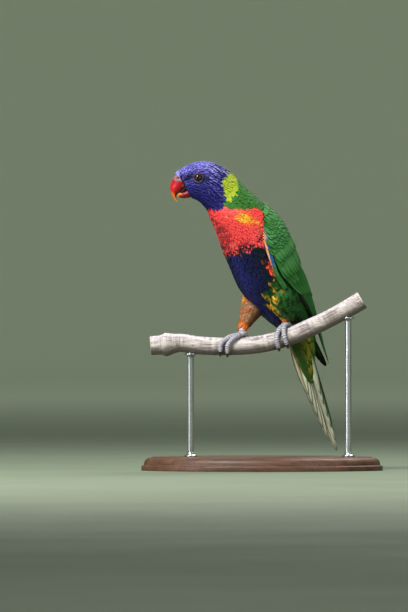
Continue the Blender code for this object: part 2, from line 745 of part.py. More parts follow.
def trunk_part(name, start, end, rings, grow=0.0, trim=(0.0, 0.0)):
    """Length of the trunk between two places, held back from its ends by trim."""
    rows = []
    for k in range(rings + 1):
        place = start + (end - start) * k / rings
        centre, up, left, depth, width = trunk_section(place, grow)
        normal = up.cross(left)
        normal = normal if normal.z < 0 else -normal
        if k == 0:
            centre = centre + normal * trim[0]
        if k == rings:
            centre = centre - normal * trim[1]
        rows.append(ring(centre, up, left, depth, width, TRUNK_SIDES))
    return loft(name, rows)


def head():
    """Head with its lids, and a socket for each eye."""
    pieces = [trunk_part("head", FACE_END, HEAD_END, 13, trim=(0.0, GAP / 2))]
    sockets, eyes = [], []
    x, z = EYE_PLACE
    plane = TRUNK[FACE_END][1]
    surface = TRUNK[EYE_ROW][5]
    for name, side in (("eye_left", -1), ("eye_right", 1)):
        centre = Vector((x, plane + side * (surface - EYE_SINK), z))
        bpy.ops.mesh.primitive_torus_add(major_segments=18, minor_segments=5,
                                         major_radius=LID_RADIUS * MM,
                                         minor_radius=LID_THICKNESS * MM)
        lid = bpy.context.object
        tilt = (Matrix.Rotation(math.radians(-LID_TILT * side), 4, "Z")
                @ Matrix.Rotation(math.pi / 2, 4, "X"))
        spot = Vector((x, plane + side * (surface - LID_SINK), z))
        lid.data.transform(Matrix.Translation(spot * MM) @ tilt)
        pieces.append(lid)
        eyes.append(ball(name, centre, EYE_RADIUS, pole=(0.0, 1.0, 0.0)))
        sockets.append(ball(name + "_socket", centre, EYE_RADIUS + GAP, pole=(0.0, 1.0, 0.0)))
    return fuse(pieces, sockets), eyes, sockets


def finish(item, key):
    """Smooth shading and a plain material for one part."""
    item.data.shade_smooth()
    item.data.set_sharp_from_angle(angle=math.radians(40.0))
    material = bpy.data.materials.new(item.name)
    material.use_nodes = True
    shader = material.node_tree.nodes["Principled BSDF"]
    shader.inputs["Base Color"].default_value = (*COLOURS[key], 1.0)
    shader.inputs["Roughness"].default_value = 0.25 if key in GLOSSY else 0.7
    shader.inputs["Metallic"].default_value = 1.0 if key == "stand_rod" else 0.0
    item.data.materials.clear()
    item.data.materials.append(material)


def main():
    """Build the bird, its perch and its stand."""
    for item in list(bpy.data.objects):
        bpy.data.objects.remove(item)
    parts = bpy.data.collections.new("rainbow_lorikeet")
    cutters = bpy.data.collections.new("cutters")
    for collection in (parts, cutters):
        bpy.context.scene.collection.children.link(collection)
    made, tools = [], []

    skull, eyes, sockets = head()
    tools += sockets
    made.append((skull, "head"))
    made += [(eye, "eye") for eye in eyes]
    made.append((trunk_part("neck", HEAD_END, NECK_END, 6, trim=(GAP / 2, GAP / 2)), "neck"))
    made.append((trunk_part("torso", NECK_END, TAIL_ROOT, TORSO_RINGS, trim=(GAP / 2, 0.0)), "torso"))

    ahead = 4
    step = (TAIL_ROOT - NECK_END) / TORSO_RINGS
    grown = trunk_part("trunk_grown", NECK_END - ahead * step, TAIL_ROOT, TORSO_RINGS + ahead,
                       grow=GAP * 1.25)
    tools.append(grown)
    for name, side in (("wing_left", LEFT_SIDE), ("wing_right", RIGHT_SIDE)):
        made.append((wing(name, side, [grown]), "wing"))
    made.append((tail("tail"), "tail"))

    nostrils = []
    for side in (-1, 1):
        y = TRUNK[FACE_END][1] + side * NOSTRIL_SPREAD
        spot = (NOSTRIL_PLACE[0], y, NOSTRIL_PLACE[1])
        nostrils.append(ball("nostril", spot, NOSTRIL_RADIUS, 10, 7))
    tools += nostrils
    made.append((bill("bill_upper", BILL_UPPER_BASE, BILL_UPPER, nostrils), "bill"))
    made.append((bill("bill_lower", BILL_LOWER_BASE, BILL_LOWER), "bill"))

    for name in THIGHS:
        side = LEFT_SIDE if name.endswith("left") else RIGHT_SIDE
        cover = wing_slab("wing_cover", side, THIGH_COVER_RANGE, THIGH_COVER_MARGIN,
                          THIGH_COVER_HEIGHT, THIGH_COVER_HEIGHT)
        tools.append(cover)
        made.append((fuse([rod(name, *thigh_line(name), 5)], [grown, cover]), "thigh"))
    for name in FEET:
        shape, claws = foot(name)
        made.append((shape, "foot"))
        made += [(claw, "claw") for claw in claws]

    count = 2 * (len(PERCH) - 1)
    rows = [read_smoothly(PERCH, k / 2) for k in range(count + 1)]
    line = [(x, PERCH_Y, z) for x, z, _ in rows]
    branch = rod("perch", line, [radius for _, _, radius in rows], 3)
    base = pillar("stand_base", (0.0, 0.0), 0.0, BASE_HEIGHT, 1.0 / MM, 48)
    base.data.transform(Matrix.Diagonal((BASE_LENGTH / 2 * MM, BASE_DEPTH / 2 * MM, 1.0, 1.0)))
    rim = base.modifiers.new("rim", "BEVEL")
    rim.width = BASE_EDGE * MM
    rim.segments = 2
    rim.angle_limit = math.radians(50.0)
    bake(base)
    for name, x in ROD_PLACES:
        centre, _, radius = perch_at(x)
        bottom = BASE_HEIGHT - ROD_SINK_BASE
        top = centre.z - radius + ROD_SINK_PERCH
        made.append((pillar(name, (x, PERCH_Y), bottom + GAP, top, ROD_RADIUS), "stand_rod"))
        wide = ROD_RADIUS + GAP
        socket = pillar(name + "_base_hole", (x, PERCH_Y), bottom, BASE_HEIGHT + 1.0, wide)
        hole = pillar(name + "_perch_hole", (x, PERCH_Y), top - 20.0, top + GAP, wide)
        fuse([base], [socket])
        fuse([branch], [hole])
        tools += [socket, hole]
    made += [(branch, "perch"), (base, "stand_base")]

    for item, key in made:
        finish(item, key)
        for collection in list(item.users_collection):
            collection.objects.unlink(item)
        parts.objects.link(item)
    for item in tools:
        for collection in list(item.users_collection):
            collection.objects.unlink(item)
        cutters.objects.link(item)
        item.hide_render = True
        item.display_type = "WIRE"


main()
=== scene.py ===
"""Rainbow lorikeet gripping a cut branch on a display stand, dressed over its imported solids.

One skin and some thousands of feather vanes stand for the solids of the body, wings and tail. The
bird's head faces -X, its body is turned towards the viewer at -Y, and +Z is up. The tables below
are in millimetres, and every mesh is turned into metres where it is made.
"""

import json
import logging
import math
from dataclasses import dataclass, field, replace
from enum import Enum
from functools import partial
from typing import Callable, Iterator, Optional, Sequence

import bpy
import numpy as np
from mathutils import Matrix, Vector
from mathutils.kdtree import KDTree

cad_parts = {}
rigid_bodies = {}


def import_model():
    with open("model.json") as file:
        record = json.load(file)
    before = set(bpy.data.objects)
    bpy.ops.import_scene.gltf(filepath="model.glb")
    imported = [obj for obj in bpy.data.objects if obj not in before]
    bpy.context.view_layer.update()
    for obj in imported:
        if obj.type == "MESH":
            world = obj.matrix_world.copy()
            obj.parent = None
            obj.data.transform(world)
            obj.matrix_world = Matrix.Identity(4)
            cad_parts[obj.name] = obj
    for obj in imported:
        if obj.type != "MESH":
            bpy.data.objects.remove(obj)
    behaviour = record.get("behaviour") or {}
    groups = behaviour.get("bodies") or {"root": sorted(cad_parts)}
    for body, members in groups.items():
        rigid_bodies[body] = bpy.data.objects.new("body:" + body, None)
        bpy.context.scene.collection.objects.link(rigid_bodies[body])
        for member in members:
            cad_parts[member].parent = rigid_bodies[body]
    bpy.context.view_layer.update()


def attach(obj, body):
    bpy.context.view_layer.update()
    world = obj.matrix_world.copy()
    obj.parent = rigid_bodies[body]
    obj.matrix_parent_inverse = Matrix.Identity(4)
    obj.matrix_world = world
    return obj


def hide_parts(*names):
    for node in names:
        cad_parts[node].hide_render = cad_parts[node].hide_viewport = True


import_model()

Array = np.ndarray
LOG = logging.getLogger("lorikeet")
MM = 0.001
GAP = 0.3
# Width and length of a small feather on the map
MAP_SPECK = (0.003, 0.003)

# Body plane: a vertical plane through BODY_POINT, turned from the head's own plane
BODY_TURN = 42.0
BODY_POINT = (30.5, 24.0)

# Head, neck and torso are one row of ellipses: x, y, z of the centre, lean of the back-to-belly
# axis from upright, half depth along it, half width across it, and turn of the section
TRUNK = (
    (-67.6, -27.0, 248.0, -28.0, 12.8, 7.6, 0.0),
    (-64.6, -27.0, 250.0, -16.0, 14.5, 10.5, 0.0),
    (-60.0, -27.0, 251.6, -3.0, 15.9, 13.4, 0.0),
    (-53.7, -27.0, 251.8, 8.0, 17.6, 15.6, 0.0),
    (-47.0, -27.0, 249.6, 17.4, 18.9, 17.0, 0.0),
    (-40.6, -26.9, 245.2, 27.4, 19.4, 17.8, 0.0),
    (-35.0, -26.6, 239.6, 39.0, 19.6, 18.8, 6.0),
    (-28.7, -25.5, 230.9, 48.0, 21.0, 21.5, 18.0),
    (-19.1, -20.2, 219.1, 54.0, 24.0, 25.5, 34.0),
    (-10.0, -12.5, 203.9, 58.0, 26.5, 29.0, 42.0),
    (-2.2, -5.4, 186.5, 60.0, 27.0, 29.5, 42.0),
    (4.8, 0.8, 169.1, 59.0, 26.5, 28.5, 42.0),
    (13.1, 8.3, 153.5, 56.0, 23.5, 26.0, 42.0),
    (21.8, 16.1, 139.5, 54.0, 18.5, 22.0, 42.0),
    (29.1, 22.8, 128.2, 58.0, 14.0, 17.5, 42.0),
    (33.5, 26.7, 119.5, 63.0, 11.0, 14.5, 42.0),
)
TAIL_ROOT = 15
# Row of the trunk where the folded wings' own rows begin
WING_START = 8

# Folded wings lie on a second row of ellipses: x, z, lean, half depth, half width
WING = (
    (-19.1, 219.1, 54.0, 25.5, 27.0),
    (-10.0, 203.9, 58.0, 28.5, 31.0),
    (-2.2, 186.5, 60.0, 29.0, 31.5),
    (4.8, 169.1, 59.0, 28.5, 30.5),
    (13.5, 153.9, 56.0, 26.0, 28.0),
    (22.6, 139.5, 54.0, 22.0, 24.0),
    (30.9, 124.8, 58.0, 17.5, 19.5),
    (39.6, 108.2, 63.0, 13.0, 14.5),
    (48.3, 91.7, 66.0, 9.0, 10.0),
    (51.3, 85.6, 66.0, 7.0, 8.0),
)
# Angles from the back's middle line of the wing's leading edge and of its edge on the back
WING_LEADING_EDGE = (88.0, 104.0, 114.0, 110.0, 98.0, 86.0, 75.0, 62.0, 58.0, 58.0)
WING_BACK_EDGE = (33.0, 20.0, 12.0, 10.0, 10.0, 12.0, 20.0, 38.0, 46.0, 46.0)

# Thighs: x, y, z and radius from inside the torso down to the ankle
THIGHS = {
    "left": (
        (15.0, -5.5, 161.0, 12.5),
        (17.6, -8.5, 151.5, 14.5),
        (19.4, -9.0, 141.5, 11.0),
        (20.5, -8.0, 134.5, 6.6),
        (20.8, -7.5, 131.2, 4.4),
    ),
    "right": (
        (1.5, 13.0, 160.0, 12.5),
        (-4.5, 9.5, 149.0, 12.5),
        (-10.5, 2.5, 137.0, 8.8),
        (-15.2, -4.0, 127.6, 5.6),
        (-16.6, -6.0, 124.2, 4.4),
    ),
}

# Tail: x and z of its axis in the body plane, and the core under its coverts as distance from
# the root, half depth, half width and drop
TAIL_AXIS = ((33.5, 119.5), (38.3, 103.0), (50.5, 61.2), (59.2, 35.1), (66.1, 16.0))
TAIL_CORE = (
    (-4.0, 10.5, 14.0, 0.0),
    (6.0, 9.2, 14.2, -0.6),
    (14.0, 7.0, 13.4, -1.6),
    (24.0, 4.6, 11.4, -2.6),
    (34.0, 2.6, 8.6, -3.2),
    (42.0, 1.2, 4.6, -3.4),
)

# Perch: its y, and x, z and radius along the branch
PERCH_Y = -7.5
PERCH = (
    (-97.0, 108.4, 8.2),
    (-88.0, 109.2, 8.6),
    (-83.5, 109.5, 10.2),
    (-76.6, 110.4, 8.6),
    (-69.6, 110.8, 7.9),
    (-53.9, 108.7, 7.8),
    (-36.5, 107.8, 7.7),
    (-19.1, 108.2, 7.6),
    (-3.5, 109.5, 7.6),
    (11.3, 112.6, 7.7),
    (26.1, 117.4, 7.8),
    (39.1, 123.0, 7.8),
    (52.2, 128.9, 7.6),
    (65.2, 135.6, 7.6),
    (78.3, 143.0, 7.8),
    (87.0, 148.2, 8.0),
)

# Feet: place along the perch, and for each toe its drift along the perch, the turn that it starts
# and ends at round the perch (90 is the top and 0 the viewer's side) and its claw's further turn
FEET = {
    "left": (24.0, ((-11.5, 76.0, -38.0, -54.0), (-4.5, 72.0, -34.0, -58.0),
                    (5.5, 112.0, 196.0, 46.0), (-2.0, 118.0, 204.0, 46.0))),
    "right": (-16.8, ((-19.5, 70.0, -24.0, -56.0), (-13.5, 62.0, -32.0, -56.0),
                      (5.0, 112.0, 190.0, 46.0), (-1.5, 120.0, 200.0, 46.0))),
}

# Upper bill: x, z, lean, half depth and half width from its base to the hooked tip
BILL_UPPER = (
    (-71.9, 249.4, -35.4, 6.6, 6.2),
    (-74.1, 246.7, -43.2, 5.9, 5.4),
    (-76.0, 243.85, -53.2, 4.5, 4.2),
    (-76.8, 240.8, -57.7, 2.95, 2.8),
    (-76.2, 237.8, -67.4, 1.75, 1.7),
    (-74.9, 235.1, -79.2, 0.95, 0.9),
    (-73.7, 233.3, -79.2, 0.3, 0.3),
)
BILL_LOWER = (
    (-66.4, 239.6, -20.5, 3.3, 5.2),
    (-69.4, 239.1, -14.3, 2.9, 4.3),
    (-71.4, 238.9, -12.0, 2.2, 3.2),
    (-72.7, 238.5, -12.0, 1.25, 2.0),
    (-73.4, 238.3, -12.0, 0.4, 0.7),
)

EYE_PLACE = (-55.4, 254.0)
EYE_RADIUS = 4.2
EYE_SINK = 2.6
EYE_ROW = 3


class Side(Enum):
    """The bird's two sides; the left one is nearer the viewer."""

    LEFT = 1
    RIGHT = -1

    @property
    def word(self) -> str:
        """Lower-case word for names."""
        return self.name.lower()


def tone(red: float, green: float, blue: float) -> tuple[float, float, float]:
    """Linear colour of screen values from 0 to 255."""
    def line(value: float) -> float:
        """Linear share of one screen value."""
        value /= 255.0
        return value / 12.92 if value <= 0.04045 else ((value + 0.055) / 1.055) ** 2.4

    return line(red), line(green), line(blue)


def smoothstep(low: float | Array, high: float | Array, value: Array) -> Array:
    """Share from 0 below low to 1 above high, with soft ends."""
    share = np.clip((value - low) / (high - low), 0.0, 1.0)
    return share * share * (3.0 - 2.0 * share)


def past(edge: float | Array, soft: float, value: Array) -> Array:
    """Share from 0 before an edge to 1 past it, soft by this much on both sides."""
    return smoothstep(edge - soft, edge + soft, value)


def patch(place: Array, angle: Array, middle: tuple, size: tuple) -> Array:
    """Round patch that is 1 at its middle place and angle."""
    return np.exp(-((place - middle[0]) / size[0]) ** 2 - ((angle - middle[1]) / size[1]) ** 2)


def wrapped(angle: Array) -> Array:
    """Angles in degrees from -180 to 180."""
    return (angle + 180.0) % 360.0 - 180.0


def circle(count: int) -> Array:
    """Evenly spaced angles of a full turn, in radians."""
    return np.linspace(0, math.tau, count, endpoint=False)


def blend(first: Sequence | Array, second: Sequence | Array, share: Array) -> Array:
    """Colours moved from the first towards the second by a share for each point."""
    return np.asarray(first) + (np.asarray(second) - np.asarray(first)) * np.asarray(share)[..., None]


def ripple(x: Array, y: Array, seed: int) -> Array:
    """Smooth seeded noise between about -1 and 1 over a plane.

    Args:
        x: First coordinate, in waves about 5 units long.
        y: Second coordinate.
        seed: Picks the pattern.

    Returns:
        One value for each point.
    """
    rng = np.random.default_rng(seed)
    total = np.zeros(np.broadcast(x, y).shape)
    for _ in range(7):
        way, speed, phase = rng.uniform(0, math.tau), rng.uniform(0.6, 1.9), rng.uniform(0, math.tau)
        total += np.sin(speed * (x * math.cos(way) + y * math.sin(way)) + phase)
    return total / 3.2


def smooth_rows(rows: Sequence, places: Array) -> Array:
    """Rows of a table read at fractional places, on a smooth curve through them.

    Args:
        rows: Table of numbers.
        places: Flat array of places, 0 for the first row.

    Returns:
        One row of values for each place.
    """
    rows = np.asarray(rows, dtype=float)
    last = len(rows) - 1
    start = np.clip(np.floor(places).astype(int), 0, last - 1)
    t = np.clip(places - start, 0.0, 1.0)[:, None]
    beyond = (places - start)[:, None] - t
    a, b, c, d = (rows[np.clip(start + k, 0, last)] for k in (-1, 0, 1, 2))
    return beyond * (c - b) + 0.5 * (2 * b + (c - a) * t + (2 * a - 5 * b + 4 * c - d) * t ** 2
                                     + (3 * b - a - 3 * c + d) * t ** 3)


def body_y(x: Array) -> Array:
    """Y of the body plane at x."""
    return BODY_POINT[1] + (x - BODY_POINT[0]) * math.tan(math.radians(BODY_TURN))


def section_axes(lean: Array, turn: Array) -> tuple[Array, Array]:
    """Unit vectors towards the back and towards the left of sections with this lean and turn."""
    lean, turn = np.radians(lean), np.radians(turn)
    zero = np.zeros_like(turn)
    left = np.stack([np.sin(turn), -np.cos(turn), zero], axis=-1)
    back = np.stack([np.sin(lean) * np.cos(turn), np.sin(lean) * np.sin(turn), np.cos(lean)], axis=-1)
    return back, left


def unit(vectors: Array) -> Array:
    """Vectors made one long."""
    return vectors / np.maximum(np.linalg.norm(vectors, axis=-1, keepdims=True), 1e-12)


def wing_edges(place: Array) -> tuple[Array, Array]:
    """Angles of a wing's leading edge and of its edge on the back, at places along the wing."""
    rows = range(len(WING_LEADING_EDGE))
    return np.interp(place, rows, WING_LEADING_EDGE), np.interp(place, rows, WING_BACK_EDGE)


class Form:
    """A smooth surface read by a place along it, an angle round it and a height above it."""

    def spots(self, place: Array, angle: Array, out: Array) -> Array:
        """Points in millimetres for flat arrays; each form has its own."""
        raise NotImplementedError

    def point(self, place: Array, angle: Array, out: Array | float) -> Array:
        """Points in millimetres for arrays of any shape that fit together."""
        place, angle, out = np.broadcast_arrays(place, angle, out)
        flat = self.spots(place.ravel().astype(float), angle.ravel().astype(float),
                          out.ravel().astype(float))
        return flat.reshape(*place.shape, 3)

    def scale(self, place: Array, angle: Array) -> tuple[Array, Array]:
        """Millimetres for each unit of place and of angle on the surface."""
        step = 0.05
        ahead = self.point(place + step, angle, 0.0) - self.point(place - step, angle, 0.0)
        aside = self.point(place, angle + step, 0.0) - self.point(place, angle - step, 0.0)
        return tuple(np.maximum(np.linalg.norm(v, axis=-1), 1e-4) / (2 * step) for v in (ahead, aside))


class BodyForm(Form):
    """Head, neck and torso; angle 0 is the back, 90 the left side and 180 the belly."""

    def spots(self, place: Array, angle: Array, out: Array) -> Array:
        """Points on or above the row of ellipses."""
        row = smooth_rows(TRUNK, place)
        back, left = section_axes(row[:, 3], row[:, 6])
        turn = np.radians(angle)
        return (row[:, :3] + back * ((row[:, 4] + out) * np.cos(turn))[:, None]
                + left * ((row[:, 5] + out) * np.sin(turn))[:, None])


@dataclass
class WingForm(Form):
    """Surface that one folded wing lies on; angles grow from the back to the belly."""

    side: Side

    def spots(self, place: Array, angle: Array, out: Array) -> Array:
        """Points on or above the wing's ellipses."""
        row = smooth_rows(WING, place)
        back, left = section_axes(row[:, 2], np.full_like(place, BODY_TURN))
        centre = np.stack([row[:, 0], body_y(row[:, 0]), row[:, 1]], axis=-1)
        turn = np.radians(angle)
        return (centre + back * ((row[:, 3] + out) * np.cos(turn))[:, None]
                + left * (self.side.value * (row[:, 4] + out) * np.sin(turn))[:, None])


@dataclass
class ThighForm(Form):
    """Feathered thigh; angle 0 is its front, 90 its outer side."""

    side: Side

    def spots(self, place: Array, angle: Array, out: Array) -> Array:
        """Points on or above the round thigh."""
        rows = THIGHS[self.side.word]
        here = smooth_rows(rows, place)
        step = 0.05
        along = unit((smooth_rows(rows, place + step) - smooth_rows(rows, place - step))[:, :3])
        turn = math.radians(BODY_TURN)
        ahead = np.array([-math.cos(turn), -math.sin(turn), 0.0])
        outer = unit(np.cross(along, ahead)) * self.side.value
        outer = outer * np.sign(np.mean(outer @ np.array([math.sin(turn), -math.cos(turn), 0.0]))
                                * self.side.value)
        front = unit(ahead - along * (along @ ahead)[:, None])
        round_it = np.radians(angle)[:, None]
        return here[:, :3] + (front * np.cos(round_it) + outer * np.sin(round_it)) \
            * (here[:, 3] + out)[:, None]


def tail_frame(distance: Array) -> tuple[Array, Array, Array]:
    """Points of the tail's axis at distances from its root, and the ways to the left and above."""
    table = np.asarray(TAIL_AXIS)
    points = np.stack([table[:, 0], body_y(table[:, 0]), table[:, 1]], axis=-1)
    lengths = np.concatenate([[0.0], np.cumsum(np.linalg.norm(np.diff(points, axis=0), axis=1))])
    place = np.interp(distance, lengths, np.arange(len(points)))
    place = place + np.maximum(distance - lengths[-1], 0.0) / (lengths[-1] - lengths[-2])
    place = place + np.minimum(distance, 0.0) / lengths[1]
    step = 0.01
    along = unit(smooth_rows(points, place + step) - smooth_rows(points, place - step))
    left = section_axes(np.zeros_like(place), np.full_like(place, BODY_TURN))[1]
    above = unit(np.cross(left, along))
    return smooth_rows(points, place), left, above * np.sign(above[:, 2:])


class TailForm(Form):
    """Plane of the tail; place is the distance from the root and angle the way to the left, in mm."""

    def spots(self, place: Array, angle: Array, out: Array) -> Array:
        """Points beside and above the tail's axis."""
        here, left, above = tail_frame(place)
        return here + left * angle[:, None] + above * out[:, None]


class TailRootForm(Form):
    """Cone from the torso into the tail; place counts the core's rows, angle 0 is above."""

    def spots(self, place: Array, angle: Array, out: Array) -> Array:
        """Points on or above the core."""
        row = smooth_rows(TAIL_CORE, place)
        here, left, above = tail_frame(row[:, 0])
        turn = np.radians(angle)
        return (here + above * (row[:, 3] + (row[:, 1] + out) * np.cos(turn))[:, None]
                + left * ((row[:, 2] + out) * np.sin(turn))[:, None])


@dataclass
class Tint:
    """Colours and pattern of feathers: ground, fringe, and shares of shaft streak and tip bar."""

    ground: Array
    fringe: Array
    streak: Array
    bar: Array

    @classmethod
    def plain(cls, count: int, ground: tuple, fringe: tuple, streak: float, bar: float) -> "Tint":
        """The same look for a number of feathers."""
        return cls(np.tile(np.array(ground), (count, 1)), np.tile(np.array(fringe), (count, 1)),
                   np.full(count, streak), np.full(count, bar))

    def paint(self, share: Array, ground: tuple, fringe: tuple, streak: float = 0.0,
              bar: float = 0.0) -> None:
        """Lay another look over this one.

        Args:
            share: How much of the new look each feather takes.
            ground: Linear colour of the vane.
            fringe: Linear colour of its streak or bar.
            streak: Strength of the shaft streak.
            bar: Strength of the bar at the tip.
        """
        self.ground = blend(self.ground, ground, share)
        self.fringe = blend(self.fringe, fringe, share)
        self.streak = self.streak * (1 - share) + streak * share
        self.bar = self.bar * (1 - share) + bar * share


@dataclass(frozen=True)
class Palette:
    """Colours of the bird."""

    navy: tuple = tone(19, 20, 84)
    ink: tuple = tone(9, 9, 32)
    violet: tuple = tone(66, 64, 164)
    plum: tuple = tone(50, 48, 142)
    lavender: tuple = tone(160, 156, 250)
    silver: tuple = tone(206, 206, 255)
    sky: tuple = tone(64, 104, 220)
    collar: tuple = tone(150, 172, 38)
    collar_pale: tuple = tone(188, 200, 70)
    green: tuple = tone(44, 104, 40)
    green_deep: tuple = tone(16, 64, 20)
    green_dark: tuple = tone(12, 36, 14)
    green_blue: tuple = tone(50, 116, 74)
    green_light: tuple = tone(96, 146, 58)
    red: tuple = tone(244, 64, 64)
    pink: tuple = tone(248, 96, 96)
    orange: tuple = tone(240, 122, 34)
    peach: tuple = tone(246, 176, 120)
    yellow: tuple = tone(232, 186, 48)
    belly: tuple = tone(22, 28, 88)
    belly_dark: tuple = tone(8, 11, 38)
    # Lighter belly blue, partly the belly's own colour and partly painted sheen
    belly_light: tuple = tone(50, 52, 140)
    teal: tuple = tone(10, 28, 34)
    blue: tuple = tone(44, 92, 176)
    olive: tuple = tone(128, 128, 32)
    wing: tuple = tone(74, 136, 72)
    wing_deep: tuple = tone(42, 106, 44)
    cream: tuple = tone(252, 252, 226)
    brown: tuple = tone(84, 48, 26)
    tan: tuple = tone(150, 124, 92)
    rust: tuple = tone(170, 88, 38)
    black: tuple = tone(16, 18, 18)


@dataclass(frozen=True)
class Markings:
    """Where the colours lie on the body, by place along it and angle from the back."""

    colours: Palette = Palette()
    hood_end: tuple = ((0, 40, 62, 86, 100, 110, 124, 138, 164, 180),
                       (5.45, 5.45, 5.25, 5.8, 6.45, 6.55, 6.65, 6.45, 5.8, 5.75))
    collar_end: tuple = ((0, 28, 62, 82, 94, 100, 180), (6.0, 6.2, 6.55, 6.65, 6.65, 6.45, 5.8))
    green_side: tuple = ((6.2, 6.45, 6.7, 7.0, 7.2, 7.4, 7.55, 7.7, 8.1, 9.0),
                         (132, 120, 111, 106, 98, 90, 80, 70, 64, 60))
    belly_start: tuple = ((0, 100, 118, 134, 162, 180), (9.4, 9.4, 9.15, 9.05, 9.1, 9.2))
    flank_side: tuple = ((9.0, 9.6, 10.15, 10.6, 10.85, 11.05, 11.2, 11.6, 12.25, 12.65, 13.2),
                         (90, 96, 100, 108, 132, 140, 150, 156, 154, 150, 136))

    def body(self, place: Array, angle: Array) -> Tint:
        """Look of the body's feathers.

        Args:
            place: Places along the trunk.
            angle: Angles from the back, positive on the left.

        Returns:
            The look at each of them.
        """
        c = self.colours
        a = np.abs(wrapped(angle))
        ragged = ripple(place * 9.0, angle * 0.35, 3)
        drift = ripple(place * 2.2, angle * 0.07, 8)
        tint = Tint.plain(len(place), c.green, c.green_light, 0.1, 0.15)
        hood_edge = np.interp(a, *self.hood_end) + 0.05 * ragged
        collar_edge = np.interp(a, *self.collar_end) + 0.08 * ragged
        side_edge = np.interp(place, *self.green_side) + 3.0 * ragged
        belly_edge = np.interp(a, *self.belly_start) + 0.22 * ragged
        flank_edge = np.interp(place, *self.flank_side) + 7.0 * ragged

        behind_hood, behind_breast = past(hood_edge, 0.05, place), past(belly_edge, 0.1, place)
        tint.paint(behind_hood * (1 - past(collar_edge, 0.1, place)), c.collar, c.collar_pale, 0.2, 0.3)

        breast = past(side_edge, 2.0, a) * behind_hood * (1 - behind_breast)
        tint.paint(breast, c.red, c.pink, 0.0, 0.3)
        tint.paint(breast * smoothstep(0.0, 0.9, ripple(place * 1.6, angle * 0.1, 6)), c.pink, c.red,
                   0.0, 0.2)
        barred = np.maximum(smoothstep(8.35, 8.8, place), 0.8 * smoothstep(146, 164, a))
        barred *= smoothstep(-0.35, -0.05, ripple(place * 13.0, angle * 0.1, 9))
        tint.paint(breast * barred, c.red, c.belly_dark, 0.0, 1.0)
        low = smoothstep(8.1, 9.1, place) * smoothstep(0.0, 0.5, drift)
        tint.paint(breast * low * 0.5, c.red, c.belly_dark, 0.0, 0.95)
        gold = patch(place, a, (7.62, 106), (0.42, 13.0))
        gold = breast * smoothstep(0.25, 0.75, gold + 0.3 * ragged)
        tint.paint(gold, c.yellow, c.orange, 0.2, 0.6)
        amber = smoothstep(0.3, 0.9, patch(place, a, (7.75, 104), (0.55, 20.0)))
        tint.paint(breast * (1 - gold) * amber, c.orange, c.red, 0.1, 0.5)
        rim = breast * smoothstep(8.2, 8.45, place) * (1 - smoothstep(104, 116, a))
        tint.paint(rim * smoothstep(-0.2, 0.4, ragged), c.orange, c.ink, 0.2, 0.8)

        belly = behind_breast * past(flank_edge, 3, a)
        tint.paint(belly, c.belly_dark, c.belly, 0.25, 0.55)
        # A lighter blue along the belly's middle: partly the belly's own blue, partly painted sheen where
        # the light falls on it
        tint.paint(belly * smoothstep(156, 178, a) * 0.6, c.belly, c.belly_light, 0.2, 0.6)
        side = belly * (1 - smoothstep(126, 150, a)) * (1 - smoothstep(12.0, 12.6, place))
        tint.paint(side, c.teal, c.belly_dark, 0.1, 0.4)
        cluster = patch(place, a, (10.35, 119), (0.5, 9.0)) + 0.55 * patch(place, a, (9.75, 125), (0.3, 8.0))
        spots = side * smoothstep(0.55, 0.75, cluster + 0.35 * ripple(place * 20.0, angle * 0.7, 21))
        tint.paint(spots, c.red, c.orange, 0.0, 0.4)

        flank = behind_breast * smoothstep(60, 70, a) * (1 - past(flank_edge, 3, a))
        tint.paint(flank, c.green_deep, c.green, 0.1, 0.5)
        fleck = ripple(place * 16.0, angle * 0.6, 27)
        border = flank * smoothstep(flank_edge - 20, flank_edge - 6, a) * smoothstep(10.5, 10.8, place)
        tint.paint(border * smoothstep(-0.2, 0.2, fleck), c.yellow, c.orange, 0.2, 0.6)
        tint.paint(border * smoothstep(-0.2, -0.5, fleck), c.green_dark, c.green, 0.0, 0.5)

        vent = smoothstep(12.8, 13.3, place + 0.15 * ragged) * smoothstep(100, 116, a)
        tint.paint(vent, c.teal, c.green_deep, 0.0, 0.4)
        under_tail = smoothstep(13.9, 14.4, place + 0.15 * ragged) * smoothstep(80, 100, a)
        tint.paint(under_tail, c.olive, c.green_deep, 0.0, 0.6)

        hood = 1 - past(hood_edge, 0.06, place)
        sway = angle * 0.9 + 1.5 * np.sin(place * 2.8 + angle * 0.07) + 1.2 * ragged
        wave = ripple(place * 1.3, sway, 5)
        crown = 1 - smoothstep(34, 66, a + 5 * drift)
        cheek = smoothstep(84, 118, a + 6 * drift)
        hind = smoothstep(2.8, 4.6, place)
        # light paints the streaks paler on the crown and darker on the cheek: partly the hood's own pattern,
        # partly painted light from above
        light = 0.45 + 0.55 * crown - 0.42 * cheek - 0.14 * hind * (1 - cheek)
        tint.paint(hood, c.navy, c.violet, 0.5, 0.0)
        tint.paint(hood * light * smoothstep(-0.7, 0.5, wave), c.plum, c.lavender, 0.95, 0.0)
        tint.paint(hood * crown * (1 - hind) * 0.6, c.violet, c.lavender, 0.9, 0.0)
        dark = smoothstep(0.1, -0.45, wave) * (0.25 + 0.6 * hind) * (1 - 0.5 * cheek)
        tint.paint(hood * dark * 0.85, c.ink, c.navy, 0.3, 0.0)
        # The silver streaks are partly the hood's pale streaks and partly painted highlight
        bright_streak_highlight = smoothstep(0.3, 0.8, wave) * (0.7 * crown + 0.5 * hind) * (1 - cheek)
        tint.paint(hood * bright_streak_highlight, c.violet, c.silver, 0.95, 0.0)
        lore = hood * patch(place, a, (1.35, 76), (0.55, 11.0))
        tint.paint(np.clip(lore * 1.3, 0, 1), c.ink, c.navy, 0.5, 0.0)
        tint.paint(hood * patch(place, a, (3.75, 80), (0.35, 9.0)), c.ink, c.navy, 0.5, 0.0)
        gape = hood * patch(place, a, (0.7, 118), (0.4, 14.0))
        tint.paint(gape * 0.8, c.navy, c.sky, 1.0, 0.0)
        return tint

